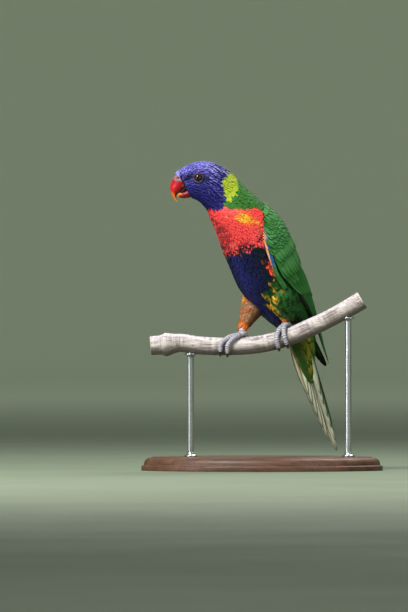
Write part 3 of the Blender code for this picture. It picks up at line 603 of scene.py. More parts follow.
    def thigh(self, side: Side, place: Array, angle: Array) -> Tint:
        """Look of a thigh's feathers.

        Args:
            side: The left thigh is green, the right one shows its orange inner side.
            place: Places down the thigh.
            angle: Angles from its front, 90 at its outer side.

        Returns:
            The look at each of them.
        """
        c = self.colours
        turn = wrapped(angle)
        ragged = ripple(place * 5.0, turn * 0.06, 12)
        fleck = ripple(place * 9.0, turn * 0.16, 14)
        tint = Tint.plain(len(place), c.green_deep, c.green, 0.1, 0.6)
        tint.paint(smoothstep(0.1, 0.45, fleck), c.green_dark, c.green_deep, 0.0, 0.4)
        if side is Side.LEFT:
            front = (1 - smoothstep(0.0, 26.0, turn + 22 * ragged)) * smoothstep(-150, -110, turn)
            tint.paint(front * smoothstep(-0.35, 0.0, fleck), c.yellow, c.orange, 0.2, 0.7)
            tint.paint(smoothstep(0.35, 0.55, ripple(place * 8.0, turn * 0.2, 15))
                       * (1 - smoothstep(40, 80, turn)) * 0.5, c.olive, c.green_deep, 0.1, 0.5)
            hem = smoothstep(3.2, 3.8, place) * (1 - smoothstep(30, 80, turn))
            tint.paint(hem * 0.8, c.orange, c.red, 0.2, 0.4)
            return tint
        inner = 1 - smoothstep(60, 90, turn + 10 * ragged)
        tint.paint(inner, c.rust, c.brown, 0.5, 0.5)
        tint.paint(inner * smoothstep(-0.2, 0.2, fleck), c.brown, c.tan, 0.5, 0.4)
        tint.paint(inner * smoothstep(0.4, 0.7, fleck), c.tan, c.brown, 0.4, 0.5)
        tint.paint(inner * smoothstep(2.0, 1.0, place) * smoothstep(-30, 20, turn), c.yellow, c.orange,
                   0.2, 0.6)
        tint.paint(inner * smoothstep(-60, -100, turn) * 0.7, c.green_dark, c.brown, 0.2, 0.5)
        tint.paint(smoothstep(3.1, 3.7, place), c.rust, c.orange, 0.4, 0.4)
        return tint

    def tail_root(self, place: Array, angle: Array) -> Tint:
        """Look of the coverts above and below the tail's root."""
        c = self.colours
        a = np.abs(wrapped(angle))
        ragged = ripple(place * 3.0, angle * 0.09, 17)
        tint = Tint.plain(len(place), c.green, c.green_deep, 0.1, 0.4)
        below = smoothstep(86, 104, a + 8 * ragged)
        tint.paint(below, c.olive, c.green_deep, 0.0, 0.8)
        middle = below * smoothstep(140, 160, a + 10 * ragged)
        tint.paint(middle * 0.9, c.green_deep, c.green, 0.1, 0.5)
        return tint


@dataclass(frozen=True)
class Signal:
    """Output of a shader node, which is added, taken away and multiplied as a number is."""

    graph: "Graph"
    socket: bpy.types.NodeSocket

    def __add__(self, other: object) -> "Signal":
        """Sum with a number or another signal."""
        return self.graph.math("ADD", self, other)

    def __mul__(self, other: object) -> "Signal":
        """Product with a number or another signal."""
        return self.graph.math("MULTIPLY", self, other)

    def __sub__(self, other: object) -> "Signal":
        """This signal less a number or another signal."""
        return self.graph.math("SUBTRACT", self, other)

    def __rsub__(self, number: float) -> "Signal":
        """A number less this signal."""
        return self.graph.math("SUBTRACT", number, self)


class Graph:
    """Short calls that add nodes to one node tree."""

    def __init__(self, tree: bpy.types.NodeTree) -> None:
        """Keep the tree."""
        self.tree = tree

    def fill(self, node: bpy.types.Node, inputs: dict) -> None:
        """Link a node's inputs to signals, or set their values, by name or index."""
        for key, value in inputs.items():
            socket = node.inputs[key]
            if isinstance(value, Signal):
                self.tree.links.new(value.socket, socket)
            else:
                socket.default_value = (*value, 1.0) if socket.type == "RGBA" else value

    def node(self, kind: str, inputs: Optional[dict] = None, **settings: object) -> bpy.types.Node:
        """Add a node.

        Args:
            kind: The node's type.
            inputs: Values or signals by input name or index.
            **settings: Properties of the node.

        Returns:
            The new node.
        """
        item = self.tree.nodes.new(kind)
        for name, value in settings.items():
            setattr(item, name, value)
        self.fill(item, inputs or {})
        return item

    def read(self, output: str | int, kind: str, inputs: Optional[dict] = None,
             **settings: object) -> Signal:
        """Add a node and give one of its outputs."""
        return Signal(self, self.node(kind, inputs, **settings).outputs[output])

    def math(self, operation: str, first: object, second: object = 0.0, clamp: bool = False) -> Signal:
        """Result of a Math node."""
        return self.read(0, "ShaderNodeMath", {0: first, 1: second}, operation=operation,
                         use_clamp=clamp)

    def span(self, value: object, low: float, high: float, start: object = 0.0,
             stop: object = 1.0) -> Signal:
        """Value mapped smoothly from low..high to start..stop."""
        ends = {"From Min": low, "From Max": high, "To Min": start, "To Max": stop}
        return self.read("Result", "ShaderNodeMapRange", {"Value": value, **ends},
                         interpolation_type="SMOOTHSTEP")

    def mix(self, share: object, first: object, second: object) -> Signal:
        """Colour mixed between two colours."""
        return self.read(2, "ShaderNodeMix", {0: share, 6: first, 7: second}, data_type="RGBA")

    def attribute(self, name: str, output: str = "Fac") -> Signal:
        """An attribute of the mesh."""
        return self.read(output, "ShaderNodeAttribute", attribute_name=name)

    def here(self) -> Signal:
        """Place in the object's own space."""
        return self.read("Object", "ShaderNodeTexCoord")

    def noise(self, scale: object, detail: float = 3.0, roughness: float = 0.5,
              vector: Optional[Signal] = None, distortion: float = 0.0) -> Signal:
        """Noise over a vector, or else over the object's own space."""
        return self.read("Fac", "ShaderNodeTexNoise", {
            "Vector": vector or self.here(), "Scale": scale, "Detail": detail,
            "Roughness": roughness, "Distortion": distortion})

    def stretched(self, scale: tuple) -> Signal:
        """Object coordinates scaled along each axis."""
        return self.read("Vector", "ShaderNodeMapping", {"Vector": self.here(), "Scale": scale})

    def use(self, group: bpy.types.NodeTree, inputs: dict) -> dict[str, Signal]:
        """Outputs of a shared node group fed with these inputs."""
        node = self.node("ShaderNodeGroup", inputs, node_tree=group)
        return {socket.name: Signal(self, socket) for socket in node.outputs}


# Kinds of socket in the node groups
NUMBER, COLOUR = "NodeSocketFloat", "NodeSocketColor"


def new_group(name: str, inputs: Sequence[tuple], *outputs: str) -> tuple[Graph, dict, bpy.types.Node]:
    """Start a shader node group.

    Args:
        name: The group's name.
        inputs: Name, socket type and default value of each input.
        *outputs: Names of its outputs; Color is a colour and the others are numbers.

    Returns:
        The group's graph, its inputs as signals by name, and its output node.
    """
    graph = Graph(bpy.data.node_groups.new(name, "ShaderNodeTree"))
    sockets = graph.tree.interface
    for title, kind, value in inputs:
        sockets.new_socket(name=title, in_out="INPUT", socket_type=kind).default_value = value
    for title in outputs:
        sockets.new_socket(name=title, in_out="OUTPUT",
                           socket_type=COLOUR if title == "Color" else NUMBER)
    source = graph.node("NodeGroupInput")
    given = {title: Signal(graph, source.outputs[title]) for title, _, _ in inputs}
    return graph, given, graph.node("NodeGroupOutput")


def vane_group() -> bpy.types.NodeTree:
    """Node group that draws one feather: streak, bar, barbs, shaft and shade at the root."""
    g, given, result = new_group(
        "feather_vane",
        (("Ground", COLOUR, (0.1, 0.2, 0.1, 1)), ("Fringe", COLOUR, (0.2, 0.4, 0.1, 1)),
         ("Along", NUMBER, 0.5), ("Across", NUMBER, 0.0), ("Chance", NUMBER, 0.5),
         ("Streak", NUMBER, 0.0), ("Bar", NUMBER, 0.0), ("Barbs", NUMBER, 30.0),
         ("Shaft", NUMBER, 0.0), ("Shaft Place", NUMBER, 0.0), ("Root Shade", NUMBER, 0.5),
         ("Edge Shade", NUMBER, 0.3), ("Variety", NUMBER, 0.24)),
        "Color", "Roughness", "Height")
    along, across, variety = given["Along"], given["Across"], given["Variety"]
    aside = g.math("ABSOLUTE", across)
    streak = g.span(aside, 0.1, 0.5, 1.0, 0.0) * given["Streak"]
    bar = g.span(along + aside * aside * 0.22, 0.72, 0.88) * given["Bar"]
    drawn = g.mix(g.math("MAXIMUM", streak, bar), given["Ground"], given["Fringe"])
    from_shaft = g.math("ABSOLUTE", across - given["Shaft Place"])
    barbs = g.math("SINE", (along - from_shaft * 0.16) * (given["Barbs"] * 6.28)) * 0.5 + 0.5
    quill = g.span(from_shaft, 0.03, 0.09, 1.0, 0.0) * given["Shaft"]
    shade = barbs * 0.14 + given["Chance"] * variety + (0.92 - variety * 0.5)
    shade = shade * g.span(along, 0.0, 0.55, 1.0 - given["Root Shade"], 1.0)
    shade = shade * g.span(aside, 0.72, 1.0, 1.0, 1.0 - given["Edge Shade"]) * (1.0 - quill * 0.6)
    g.fill(result, {
        "Color": g.read(0, "ShaderNodeVectorMath", {0: drawn, "Scale": shade}, operation="SCALE"),
        "Roughness": 0.66 - barbs * 0.1, "Height": barbs * 0.5 + quill})
    return g.tree


def grain_group() -> bpy.types.NodeTree:
    """Node group for lengthwise grain with pores, used by bark, wood and brushed steel."""
    g, given, result = new_group(
        "grain",
        (("Vector", "NodeSocketVector", (0, 0, 0)), ("Light", COLOUR, (0.4, 0.3, 0.2, 1)),
         ("Dark", COLOUR, (0.2, 0.12, 0.07, 1)), ("Fineness", NUMBER, 30.0),
         ("Contrast", NUMBER, 0.6)),
        "Color", "Height")
    wide = g.noise(1.0, 5.0, 0.6, given["Vector"], 0.4)
    both = wide * 0.62 + g.noise(given["Fineness"], vector=given["Vector"]) * 0.38
    share = g.span(both, 0.34, 0.64) * given["Contrast"]
    g.fill(result, {"Color": g.mix(share, given["Light"], given["Dark"]), "Height": both})
    return g.tree


def mottle_group() -> bpy.types.NodeTree:
    """Node group that breaks up a colour and a roughness with soft wear and fine grain."""
    g, given, result = new_group(
        "mottle",
        (("Color", COLOUR, (0.5, 0.5, 0.5, 1)), ("Worn", COLOUR, (0.6, 0.6, 0.6, 1)),
         ("Size", NUMBER, 200.0), ("Amount", NUMBER, 0.3), ("Roughness", NUMBER, 0.5)),
        "Color", "Roughness", "Height")
    soft = g.noise(given["Size"], 4.0, 0.6)
    fine = g.noise(given["Size"] * 9.0, 2.0)
    share = g.span(soft, 0.35, 0.7) * given["Amount"]
    g.fill(result, {
        "Color": g.mix(share, given["Color"], given["Worn"]),
        "Roughness": g.math("ADD", given["Roughness"], (soft - 0.5) * 0.3, clamp=True),
        "Height": soft + fine * 0.4})
    return g.tree


@dataclass
class Groups:
    """The shared node groups, each built once."""

    vane: bpy.types.NodeTree = field(default_factory=vane_group)
    grain: bpy.types.NodeTree = field(default_factory=grain_group)
    mottle: bpy.types.NodeTree = field(default_factory=mottle_group)


class Surface(Graph):
    """Graph of a new material, with its Principled shader."""

    def __init__(self, name: str) -> None:
        """Start the material."""
        self.material = bpy.data.materials.new(name)
        self.material.use_nodes = True
        super().__init__(self.material.node_tree)

    def finish(self, inputs: dict, height: Optional[Signal] = None, depth: float = 0.0,
               strength: float = 0.5) -> bpy.types.Material:
        """Feed the shader.

        Args:
            inputs: Its values and signals by name.
            height: Signal of the fine relief.
            depth: Depth of the relief in metres.
            strength: Strength of the relief.

        Returns:
            The material.
        """
        if height:
            relief = {"Height": height, "Distance": depth, "Strength": strength}
            inputs = {**inputs, "Normal": self.read("Normal", "ShaderNodeBump", relief)}
        self.fill(self.tree.nodes["Principled BSDF"], inputs)
        return self.material


@dataclass(frozen=True)
class PlumageFinish:
    """Feather look of one region."""

    name: str
    barbs: float = 26.0
    shaft: float = 0.0
    shaft_place: float = 0.0
    root_shade: float = 0.5
    edge_shade: float = 0.3
    variety: float = 0.24
    gloss: float = 0.17
    bump: float = 0.5

    def make(self, groups: Groups) -> bpy.types.Material:
        """Build the material."""
        g = Surface(self.name)
        drawn = {title: g.attribute(title.lower(), "Color") for title in ("Ground", "Fringe")}
        told = {title: g.attribute(title.lower())
                for title in ("Along", "Across", "Chance", "Streak", "Bar")}
        vane = g.use(groups.vane, {
            **drawn, **told, "Barbs": self.barbs, "Shaft": self.shaft, "Shaft Place": self.shaft_place,
            "Root Shade": self.root_shade, "Edge Shade": self.edge_shade, "Variety": self.variety})
        return g.finish({"Base Color": vane["Color"], "Roughness": vane["Roughness"],
                         "Specular IOR Level": self.gloss}, vane["Height"], 0.0001, self.bump)


@dataclass(frozen=True)
class HornFinish:
    """Horn, scaled skin or fleshy skin, coloured by the mesh's own tints."""

    name: str
    roughness: float
    coat: float
    wear: tuple
    amount: float
    size: float
    depth: float
    gloss: float = 0.5

    def make(self, groups: Groups) -> bpy.types.Material:
        """Build the material."""
        g = Surface(self.name)
        skin = g.use(groups.mottle, {
            "Color": g.attribute("ground", "Color"), "Worn": self.wear, "Size": self.size,
            "Amount": self.amount, "Roughness": self.roughness})
        return g.finish({"Base Color": skin["Color"], "Roughness": skin["Roughness"],
                         "Specular IOR Level": self.gloss, "Coat Weight": self.coat,
                         "Coat Roughness": 0.12}, skin["Height"], self.depth)


@dataclass(frozen=True)
class EyeFinish:
    """Wet eyeball: pupil, dark brown iris and its redder rim, by the angle from the eye's axis."""

    name: str = "eye_wet"
    pupil: tuple = tone(1, 1, 2)
    iris: tuple = tone(22, 8, 10)
    rim: tuple = tone(66, 20, 34)
    white: tuple = tone(20, 13, 18)

    def make(self) -> bpy.types.Material:
        """Build the material."""
        g = Surface(self.name)
        place = g.attribute("radial")
        fibres = g.noise(2600.0, 2.0, 0.55)
        inner = g.mix(g.span(place, 0.47, 0.52), self.pupil, self.iris)
        outer = g.mix(g.span(place + fibres * 0.12, 0.55, 0.85), inner, self.rim)
        return g.finish({"Base Color": g.mix(g.span(place, 0.9, 0.98), outer, self.white),
                         "Roughness": 0.12, "Specular IOR Level": 0.05, "Coat Weight": 0.8,
                         "Coat Roughness": 0.02})


@dataclass(frozen=True)
class BarkFinish:
    """Smooth bark in lilac-grey with painted light: lighter on top and a tan-dark painted shade below, with
    the mesh's own height in it.
    """

    name: str = "bark_smooth"
    # top, flank and under are painted light and shade: pale where the bark faces up, dark where it faces
    # down
    top: tuple = tone(214, 206, 212)
    flank: tuple = tone(200, 192, 188)
    under: tuple = tone(104, 98, 92)
    crack: tuple = tone(92, 78, 76)

    def make(self, groups: Groups) -> bpy.types.Material:
        """Build the material."""
        g = Surface(self.name)
        # Painted light and shade: the colour runs from under to flank to top by how far each face points up
        up = g.attribute("facing")
        lit = g.mix(g.span(up, -0.7, 0.1), self.under, self.flank)
        lit = g.mix(g.span(up + g.noise(90.0, 3.0, 0.55) * 0.5, 0.55, 1.1), lit, self.top)
        grain = g.use(groups.grain, {"Vector": g.stretched((60.0, 520.0, 520.0)), "Light": lit,
                                     "Dark": self.crack, "Fineness": 4.0, "Contrast": 0.6})
        # The sunken relief is darkened towards the crack colour: partly the bark's dark furrows, partly
        # painted shade in the hollows
        furrow_dark_and_shade = g.span(g.attribute("relief"), -0.7, 0.1, 0.75, 0.0)
        return g.finish({"Base Color": g.mix(furrow_dark_and_shade, grain["Color"], self.crack), "Roughness": 0.78},
                        grain["Height"], 0.0006, 0.6)


@dataclass(frozen=True)
class GrainFinish:
    """Turned wood, sawn wood or brushed steel: two tones in a stretched grain, or in rings."""

    name: str
    light: tuple
    dark: tuple
    roughness: float
    coat: float = 0.0
    metal: float = 0.0
    stretch: tuple = (14.0, 150.0, 150.0)
    fineness: float = 5.0
    contrast: float = 0.9
    depth: float = 0.0002
    ring_centre: Optional[tuple] = None
    ring_scale: float = 1500.0

    def make(self, groups: Groups) -> bpy.types.Material:
        """Build the material."""
        g = Surface(self.name)
        vector = g.stretched(self.stretch)
        if self.ring_centre:
            here = g.node("ShaderNodeSeparateXYZ", {0: g.here()}).outputs
            y, z = (Signal(g, here[axis]) - middle for axis, middle in zip("YZ", self.ring_centre))
            radius = g.math("SQRT", y * y + z * z)
            vector = g.read(0, "ShaderNodeCombineXYZ", {0: radius * self.ring_scale})
        grain = g.use(groups.grain, {"Vector": vector, "Light": self.light, "Dark": self.dark,
                                     "Fineness": self.fineness, "Contrast": self.contrast})
        return g.finish({"Base Color": grain["Color"], "Roughness": self.roughness,
                         "Metallic": self.metal, "Coat Weight": self.coat, "Coat Roughness": 0.25},
                        grain["Height"], self.depth, 0.3)


@dataclass(frozen=True)
class StageFinish:
    """Plain pale floor with the faintest mottling."""

    name: str = "studio_floor"
    pale: tuple = tone(104, 116, 96)
    shade: tuple = tone(98, 110, 90)
    far: tuple = tone(212, 220, 194)

    def make(self, groups: Groups) -> bpy.types.Material:
        """Build the material."""
        g = Surface(self.name)
        floor = g.use(groups.mottle, {"Color": self.pale, "Worn": self.shade, "Size": 6.0,
                                      "Amount": 0.5, "Roughness": 0.85})
        away = g.read("Value", "ShaderNodeVectorMath", {0: g.here()}, operation="LENGTH")
        return g.finish({"Base Color": g.mix(g.span(away, 1.0, 7.0), floor["Color"], self.far),
                         "Roughness": floor["Roughness"]})


def add_layer(mesh: bpy.types.Mesh, key: str, values: Array) -> None:
    """Put numbers or colours on a mesh's vertices."""
    coloured = values.ndim == 2
    layer = mesh.attributes.new(key, "FLOAT_COLOR" if coloured else "FLOAT", "POINT")
    if coloured:
        values = np.c_[values, np.ones(len(values))]
    layer.data.foreach_set("color" if coloured else "value", values.astype(np.float32).ravel())


@dataclass
class Shell:
    """Vertices, faces and values on the vertices of one mesh, in millimetres."""

    points: Array
    quads: Array
    caps: list = field(default_factory=list)
    values: dict = field(default_factory=dict)
    uv: Optional[Array] = None

    @classmethod
    def joined(cls, shells: Sequence["Shell"]) -> "Shell":
        """One shell of several with the same values."""
        starts = np.cumsum([0] + [len(s.points) for s in shells[:-1]])
        return cls(np.concatenate([s.points for s in shells]),
                   np.concatenate([s.quads + start for s, start in zip(shells, starts)]),
                   [cap + start for s, start in zip(shells, starts) for cap in s.caps],
                   {key: np.concatenate([s.values[key] for s in shells]) for key in shells[0].values},
                   None if shells[0].uv is None else np.concatenate([s.uv for s in shells]))

    def mesh(self, name: str) -> bpy.types.Mesh:
        """Turn it into a smooth mesh in metres."""
        mesh = bpy.data.meshes.new(name)
        sizes = np.concatenate([np.full(len(self.quads), 4), [len(cap) for cap in self.caps]])
        corners = np.concatenate([self.quads.ravel(), *self.caps]).astype(np.int32)
        starts = np.concatenate([[0], np.cumsum(sizes)[:-1]]).astype(np.int32)
        mesh.vertices.add(len(self.points))
        mesh.vertices.foreach_set("co", (self.points * MM).astype(np.float32).ravel())
        mesh.loops.add(len(corners))
        mesh.loops.foreach_set("vertex_index", corners)
        mesh.polygons.add(len(starts))
        mesh.polygons.foreach_set("loop_start", starts)
        mesh.update(calc_edges=True)
        mesh.shade_smooth()
        for key, value in self.values.items():
            add_layer(mesh, key, value)
        if self.uv is not None:
            layer = mesh.uv_layers.new(name="OFBake")
            layer.data.foreach_set("uv", self.uv[corners].astype(np.float32).ravel())
        return mesh


def add_object(name: str, data: bpy.types.ID) -> bpy.types.Object:
    """Put a mesh, a light or a camera in the scene."""
    item = bpy.data.objects.new(name, data)
    bpy.context.scene.collection.objects.link(item)
    return item


def place_piece(name: str, shape: Shell | bpy.types.Mesh, material: bpy.types.Material, slot: str,
                *nodes: str) -> bpy.types.Object:
    """Make a shell or a mesh a piece of the part.

    Args:
        name: The piece's name.
        shape: Its shell in millimetres, or its mesh in metres.
        material: Its finish.
        slot: The record's slot that it follows; not used.
        *nodes: Solids that it stands for.

    Returns:
        The new object.
    """
    mesh = shape.mesh(name) if isinstance(shape, Shell) else shape
    piece = add_object(name, mesh)
    mesh.materials.clear()
    mesh.materials.append(material)
    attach(piece, "root")
    if nodes:
        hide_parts(*nodes)
    LOG.info("%s: %d faces%s", name, len(mesh.polygons), f", for {', '.join(nodes)}" if nodes else "")
    return piece


def ring_quads(rows: int, sides: int, closed: bool = False) -> Array:
    """Faces of a tube of rows by sides points; a closed one joins its last row to its first."""
    row, k = np.meshgrid(np.arange(rows - (not closed)), np.arange(sides), indexing="ij")
    ahead, beside = (row + 1) % rows * sides, (k + 1) % sides
    return np.stack([row * sides + k, row * sides + beside, ahead + beside, ahead + k],
                    axis=-1).reshape(-1, 4)


def face_out(shell: Shell, outward: Array) -> Shell:
    """Turn the faces round if the first quad of the shell looks away from a direction."""
    a, b, c, d = shell.points[shell.quads[0]]
    if np.cross(c - a, d - b) @ outward < 0:
        shell.quads = shell.quads[:, ::-1].copy()
        shell.caps = [cap[::-1].copy() for cap in shell.caps]
    return shell


def tube(rows: Array, ground: Optional[Array] = None) -> Shell:
    """Closed shell with flat ends through rings of points, shape (rows, sides, 3), and its colours."""
    count, sides = rows.shape[:2]
    ends = [np.arange(sides)[::-1].copy(), np.arange(sides) + (count - 1) * sides]
    values = {} if ground is None else {"ground": ground.reshape(-1, 3)}
    shell = Shell(rows.reshape(-1, 3), ring_quads(count, sides), ends, values)
    return face_out(shell, rows[0, 0] - rows[0].mean(axis=0))


def hoop(rows: Array, outward: Array) -> Shell:
    """Shell through rings of points whose last ring joins the first."""
    return face_out(Shell(rows.reshape(-1, 3), ring_quads(*rows.shape[:2], closed=True)), outward)


def lathe(rings: Sequence[tuple], sides: int, centre: tuple = (0.0, 0.0)) -> Array:
    """Rings of points, each with its half widths along X and Y and its height."""
    turn = circle(sides)
    return np.stack([np.stack([centre[0] + wide * np.cos(turn), centre[1] + deep * np.sin(turn),
                               np.full_like(turn, height)], axis=-1) for wide, deep, height in rings])


def globe(centre: Array, half_axes: Sequence[Array], polar: Array, turn: Array,
          swell: float | Array = 1.0) -> Array:
    """Points of a globe.

    Args:
        centre: Its centre.
        half_axes: Its three half axes; the first points to the pole.
        polar: Column of angles from the pole.
        turn: Row of angles round it.
        swell: Factor on the distance from the centre.

    Returns:
        Rings of points.
    """
    shares = (np.cos(polar) + 0 * turn, np.sin(polar) * np.cos(turn), np.sin(polar) * np.sin(turn))
    return centre + sum(axis * (share * swell)[..., None] for axis, share in zip(half_axes, shares))


def sweep(points: Array, radii: Array, sides: int, steps: int,
          relief: float | Array = 0.0) -> tuple[Array, Array]:
    """Rings round a smooth line through points.

    Args:
        points: Points that the line passes, in millimetres.
        radii: Radius at each of them.
        sides: Points of each ring.
        steps: Number of rings.
        relief: Height to add, shape (steps, sides).

    Returns:
        The rings' points, and the outward directions there.
    """
    places = np.linspace(0, len(points) - 1, steps)
    table = np.concatenate([points, np.asarray(radii)[:, None]], axis=1)
    rows = smooth_rows(table, places)
    centres, radius = rows[:, :3], rows[:, 3]
    along = unit(np.gradient(centres, axis=0))
    guide = np.array([0.0, -1.0, 0.2])
    first = []
    for way in along:
        guide = guide - way * (guide @ way)
        guide = guide / np.linalg.norm(guide)
        first.append(guide)
    first = np.array(first)
    second = np.cross(along, first)
    turn = circle(sides)
    outward = (first[:, None] * np.cos(turn)[None, :, None]
               + second[:, None] * np.sin(turn)[None, :, None])
    return centres[:, None] + outward * (radius[:, None] + relief)[..., None], outward


@dataclass(frozen=True)
class VaneKind:
    """Outline and section of one kind of feather."""

    along: int = 6
    across: int = 2
    root_width: float = 0.5
    widest: float = 0.55
    taper: float = 0.5
    thickness: float = 0.22
    camber: float = 0.25
    ridge: float = 0.0
    shaft_place: float = 0.0
    ragged: float = 0.06
    ramp: float = 0.8

    def stations(self) -> tuple[Array, Array]:
        """Shares of the length, and of the half width there."""
        straight = max(self.along // 2, 2)
        turn = np.linspace(0, math.pi / 2 * 0.97, self.along + 1 - straight)
        t = np.concatenate([np.linspace(0, self.widest, straight, endpoint=False),
                            self.widest + (1 - self.widest) * np.sin(turn)])
        swell = np.sin(np.clip(t / self.widest, 0, 1) * math.pi / 2)
        closing = np.clip((t - self.widest) / (1 - self.widest), 0, 1)
        width = (self.root_width + (1 - self.root_width) * swell) \
            * np.clip(1 - closing ** 2, 0.0036, 1) ** self.taper
        return t, width

    def columns(self) -> tuple[Array, Array]:
        """Shares across the vane and the face (1 above, -1 below) of one ring's points."""
        across = np.linspace(-1, 1, self.across + 1)
        if self.ridge:
            across = np.array([-1, -0.66, -0.3, self.shaft_place - 0.12, self.shaft_place,
                               self.shaft_place + 0.12, 0.72, 1.0])
        return (np.concatenate([across, across[-2:0:-1]]),
                np.concatenate([np.ones(len(across)), -np.ones(len(across) - 2)]))


@dataclass
class Vanes:
    """A number of feathers on one form; every field is an array with a value for each."""

    place: Array
    angle: Array
    tip_place: Array
    tip_angle: Array
    bend: Array
    half_width: Array
    sink: Array
    rise: Array
    roll: Array
    tint: Tint
    uv: Array
    uv_size: tuple

    def part(self, chosen: Array) -> "Vanes":
        """Some of the feathers."""
        tint = Tint(**{key: value[chosen] for key, value in vars(self.tint).items()})
        picked = {key: value[chosen] for key, value in vars(self).items() if isinstance(value, Array)}
        return replace(self, tint=tint, **picked)

    def lay(self, form: Form, kind: VaneKind, seed: int) -> Shell:
        """Build the feathers as closed lens-shaped vanes that follow the form.

        Args:
            form: Surface that they lie on.
            kind: Their outline and section.
            seed: Fixes their small differences.

        Returns:
            One shell of them all, with the values that the finish reads.
        """
        rng = np.random.default_rng(seed)
        count = len(self.place)
        t, width = kind.stations()
        s, face = kind.columns()
        rows, sides = len(t), len(s)
        near, mid, far = (1 - t) * (1 - 2 * t), 4 * t * (1 - t), t * (2 * t - 1)
        middle_place = (self.place + self.tip_place) / 2
        middle_angle = (self.angle + self.tip_angle) / 2 + self.bend
        place = np.outer(self.place, near) + np.outer(middle_place, mid) + np.outer(self.tip_place, far)
        angle = np.outer(self.angle, near) + np.outer(middle_angle, mid) + np.outer(self.tip_angle, far)
        by_place, by_angle = form.scale(place, angle)
        ahead = np.gradient(place, t, axis=1) * by_place
        aside = np.gradient(angle, t, axis=1) * by_angle
        length = np.maximum(np.hypot(ahead, aside), 1e-6)
        cos, sin = ahead / length, aside / length

        edges = 1 + kind.ragged * rng.uniform(-1, 1, (count, rows, 2)) * np.clip(3 * t, 0, 1)[:, None]
        edge = np.where(s[None, None] < 0, edges[..., :1], edges[..., 1:])
        across = s[None, None] * edge * self.half_width[:, None, None] * width[None, :, None]
        all_place = place[..., None] - across * (sin / by_place)[..., None]
        all_angle = angle[..., None] + across * (cos / by_angle)[..., None]
        lift = (self.sink[:, None] + (self.rise - self.sink)[:, None] * t[None] ** kind.ramp)[..., None]
        lift = lift + kind.camber * (1 - s ** 2)[None, None] * width[None, :, None]
        lift = lift + across * np.sin(np.radians(self.roll))[:, None, None] * np.clip(2 * t, 0, 1)[:, None]
        body = kind.thickness / 2 * (1 - np.abs(s) ** 3) * face
        lift = lift + body[None, None] * (1 - 0.6 * t ** 2)[None, :, None]
        if kind.ridge:
            ridge = kind.ridge * np.exp(-((s - kind.shaft_place) / 0.07) ** 2) * face
            lift = lift + ridge[None, None] * (1 - 0.8 * t)[None, :, None]
        points = form.point(all_place, all_angle, lift)

        starts = np.arange(count)[:, None, None] * (rows * sides)
        quads = (ring_quads(rows, sides)[None] + starts).reshape(-1, 4)
        first, last = np.arange(sides)[::-1], np.arange(sides) + (rows - 1) * sides
        caps = [end + k * rows * sides for k in range(count) for end in (first, last)]
        chance = np.repeat(rng.uniform(0, 1, count), rows * sides)
        wide_t = np.broadcast_to(t[None, :, None], (count, rows, sides)).ravel()
        wide_s = np.broadcast_to(s[None, None], (count, rows, sides)).ravel()

        def spread(values: Array) -> Array:
            """One value of each feather for all its vertices."""
            return np.repeat(values, rows * sides, axis=0)

        uv = spread(self.uv) + np.stack([wide_s * self.uv_size[0] / 2,
                                         (wide_t - 0.5) * self.uv_size[1]], axis=-1)
        shell = Shell(points.reshape(-1, 3), quads, caps, {
            "along": wide_t, "across": wide_s, "chance": chance,
            "ground": spread(self.tint.ground), "fringe": spread(self.tint.fringe),
            "streak": spread(self.tint.streak), "bar": spread(self.tint.bar)}, uv)
        outer = form.point(self.place[:1], self.angle[:1], 5.0) - form.point(self.place[:1],
                                                                           self.angle[:1], 0.0)
        return face_out(shell, outer[0])


def scatter(form: Form, start: float, stop: float, spacing: tuple, seed: int) -> tuple[Array, Array]:
    """Roots of small feathers in staggered rows across the lie of the coat.

    Args:
        form: Surface to cover.
        start: First place.
        stop: Last place.
        spacing: Places, and the distance in millimetres between feathers at each.
        seed: Fixes the jitter.

    Returns:
        Places and angles of the roots.
    """
    rng = np.random.default_rng(seed)
    around = np.linspace(-180, 180, 73)
    places, turns = [], []
    place, row = start, 0
    while place < stop:
        by_place, by_angle = form.scale(np.full_like(around, place), around)
        gap = float(np.interp(place, *spacing))
        length = np.concatenate([[0], np.cumsum((by_angle[1:] + by_angle[:-1]) / 2 * np.diff(around))])
        count = max(int(length[-1] / gap), 3)
        at = (np.arange(count) + (0.5 if row % 2 else 0.0) + rng.uniform(-0.28, 0.28, count)) / count
        turn = np.interp(at * length[-1], length, around)
        step = gap * 1.1 / by_place.max()
        keep = rng.uniform(0, 1, count) < np.interp(turn, around, by_place) / by_place.max()
        places.append(place + step * rng.uniform(-0.35, 0.35, count)[keep])
        turns.append(turn[keep])
        place += step
        row += 1
    return np.concatenate(places), np.concatenate(turns)


def unwrap(place: Array, angle: Array, low: float, high: float, length: float) -> Array:
    """Place of a root on the unwrapped skin, in the strip of the map from low to high."""
    around = (angle + 180.0) % 360.0 / 360.0
    return np.stack([0.01 + 0.98 * around, low + (high - low) * np.clip(place / length, 0, 1)], axis=-1)


def turned(count: int, value: float) -> Array:
    """The same value for a number of feathers."""
    return np.full(count, value)


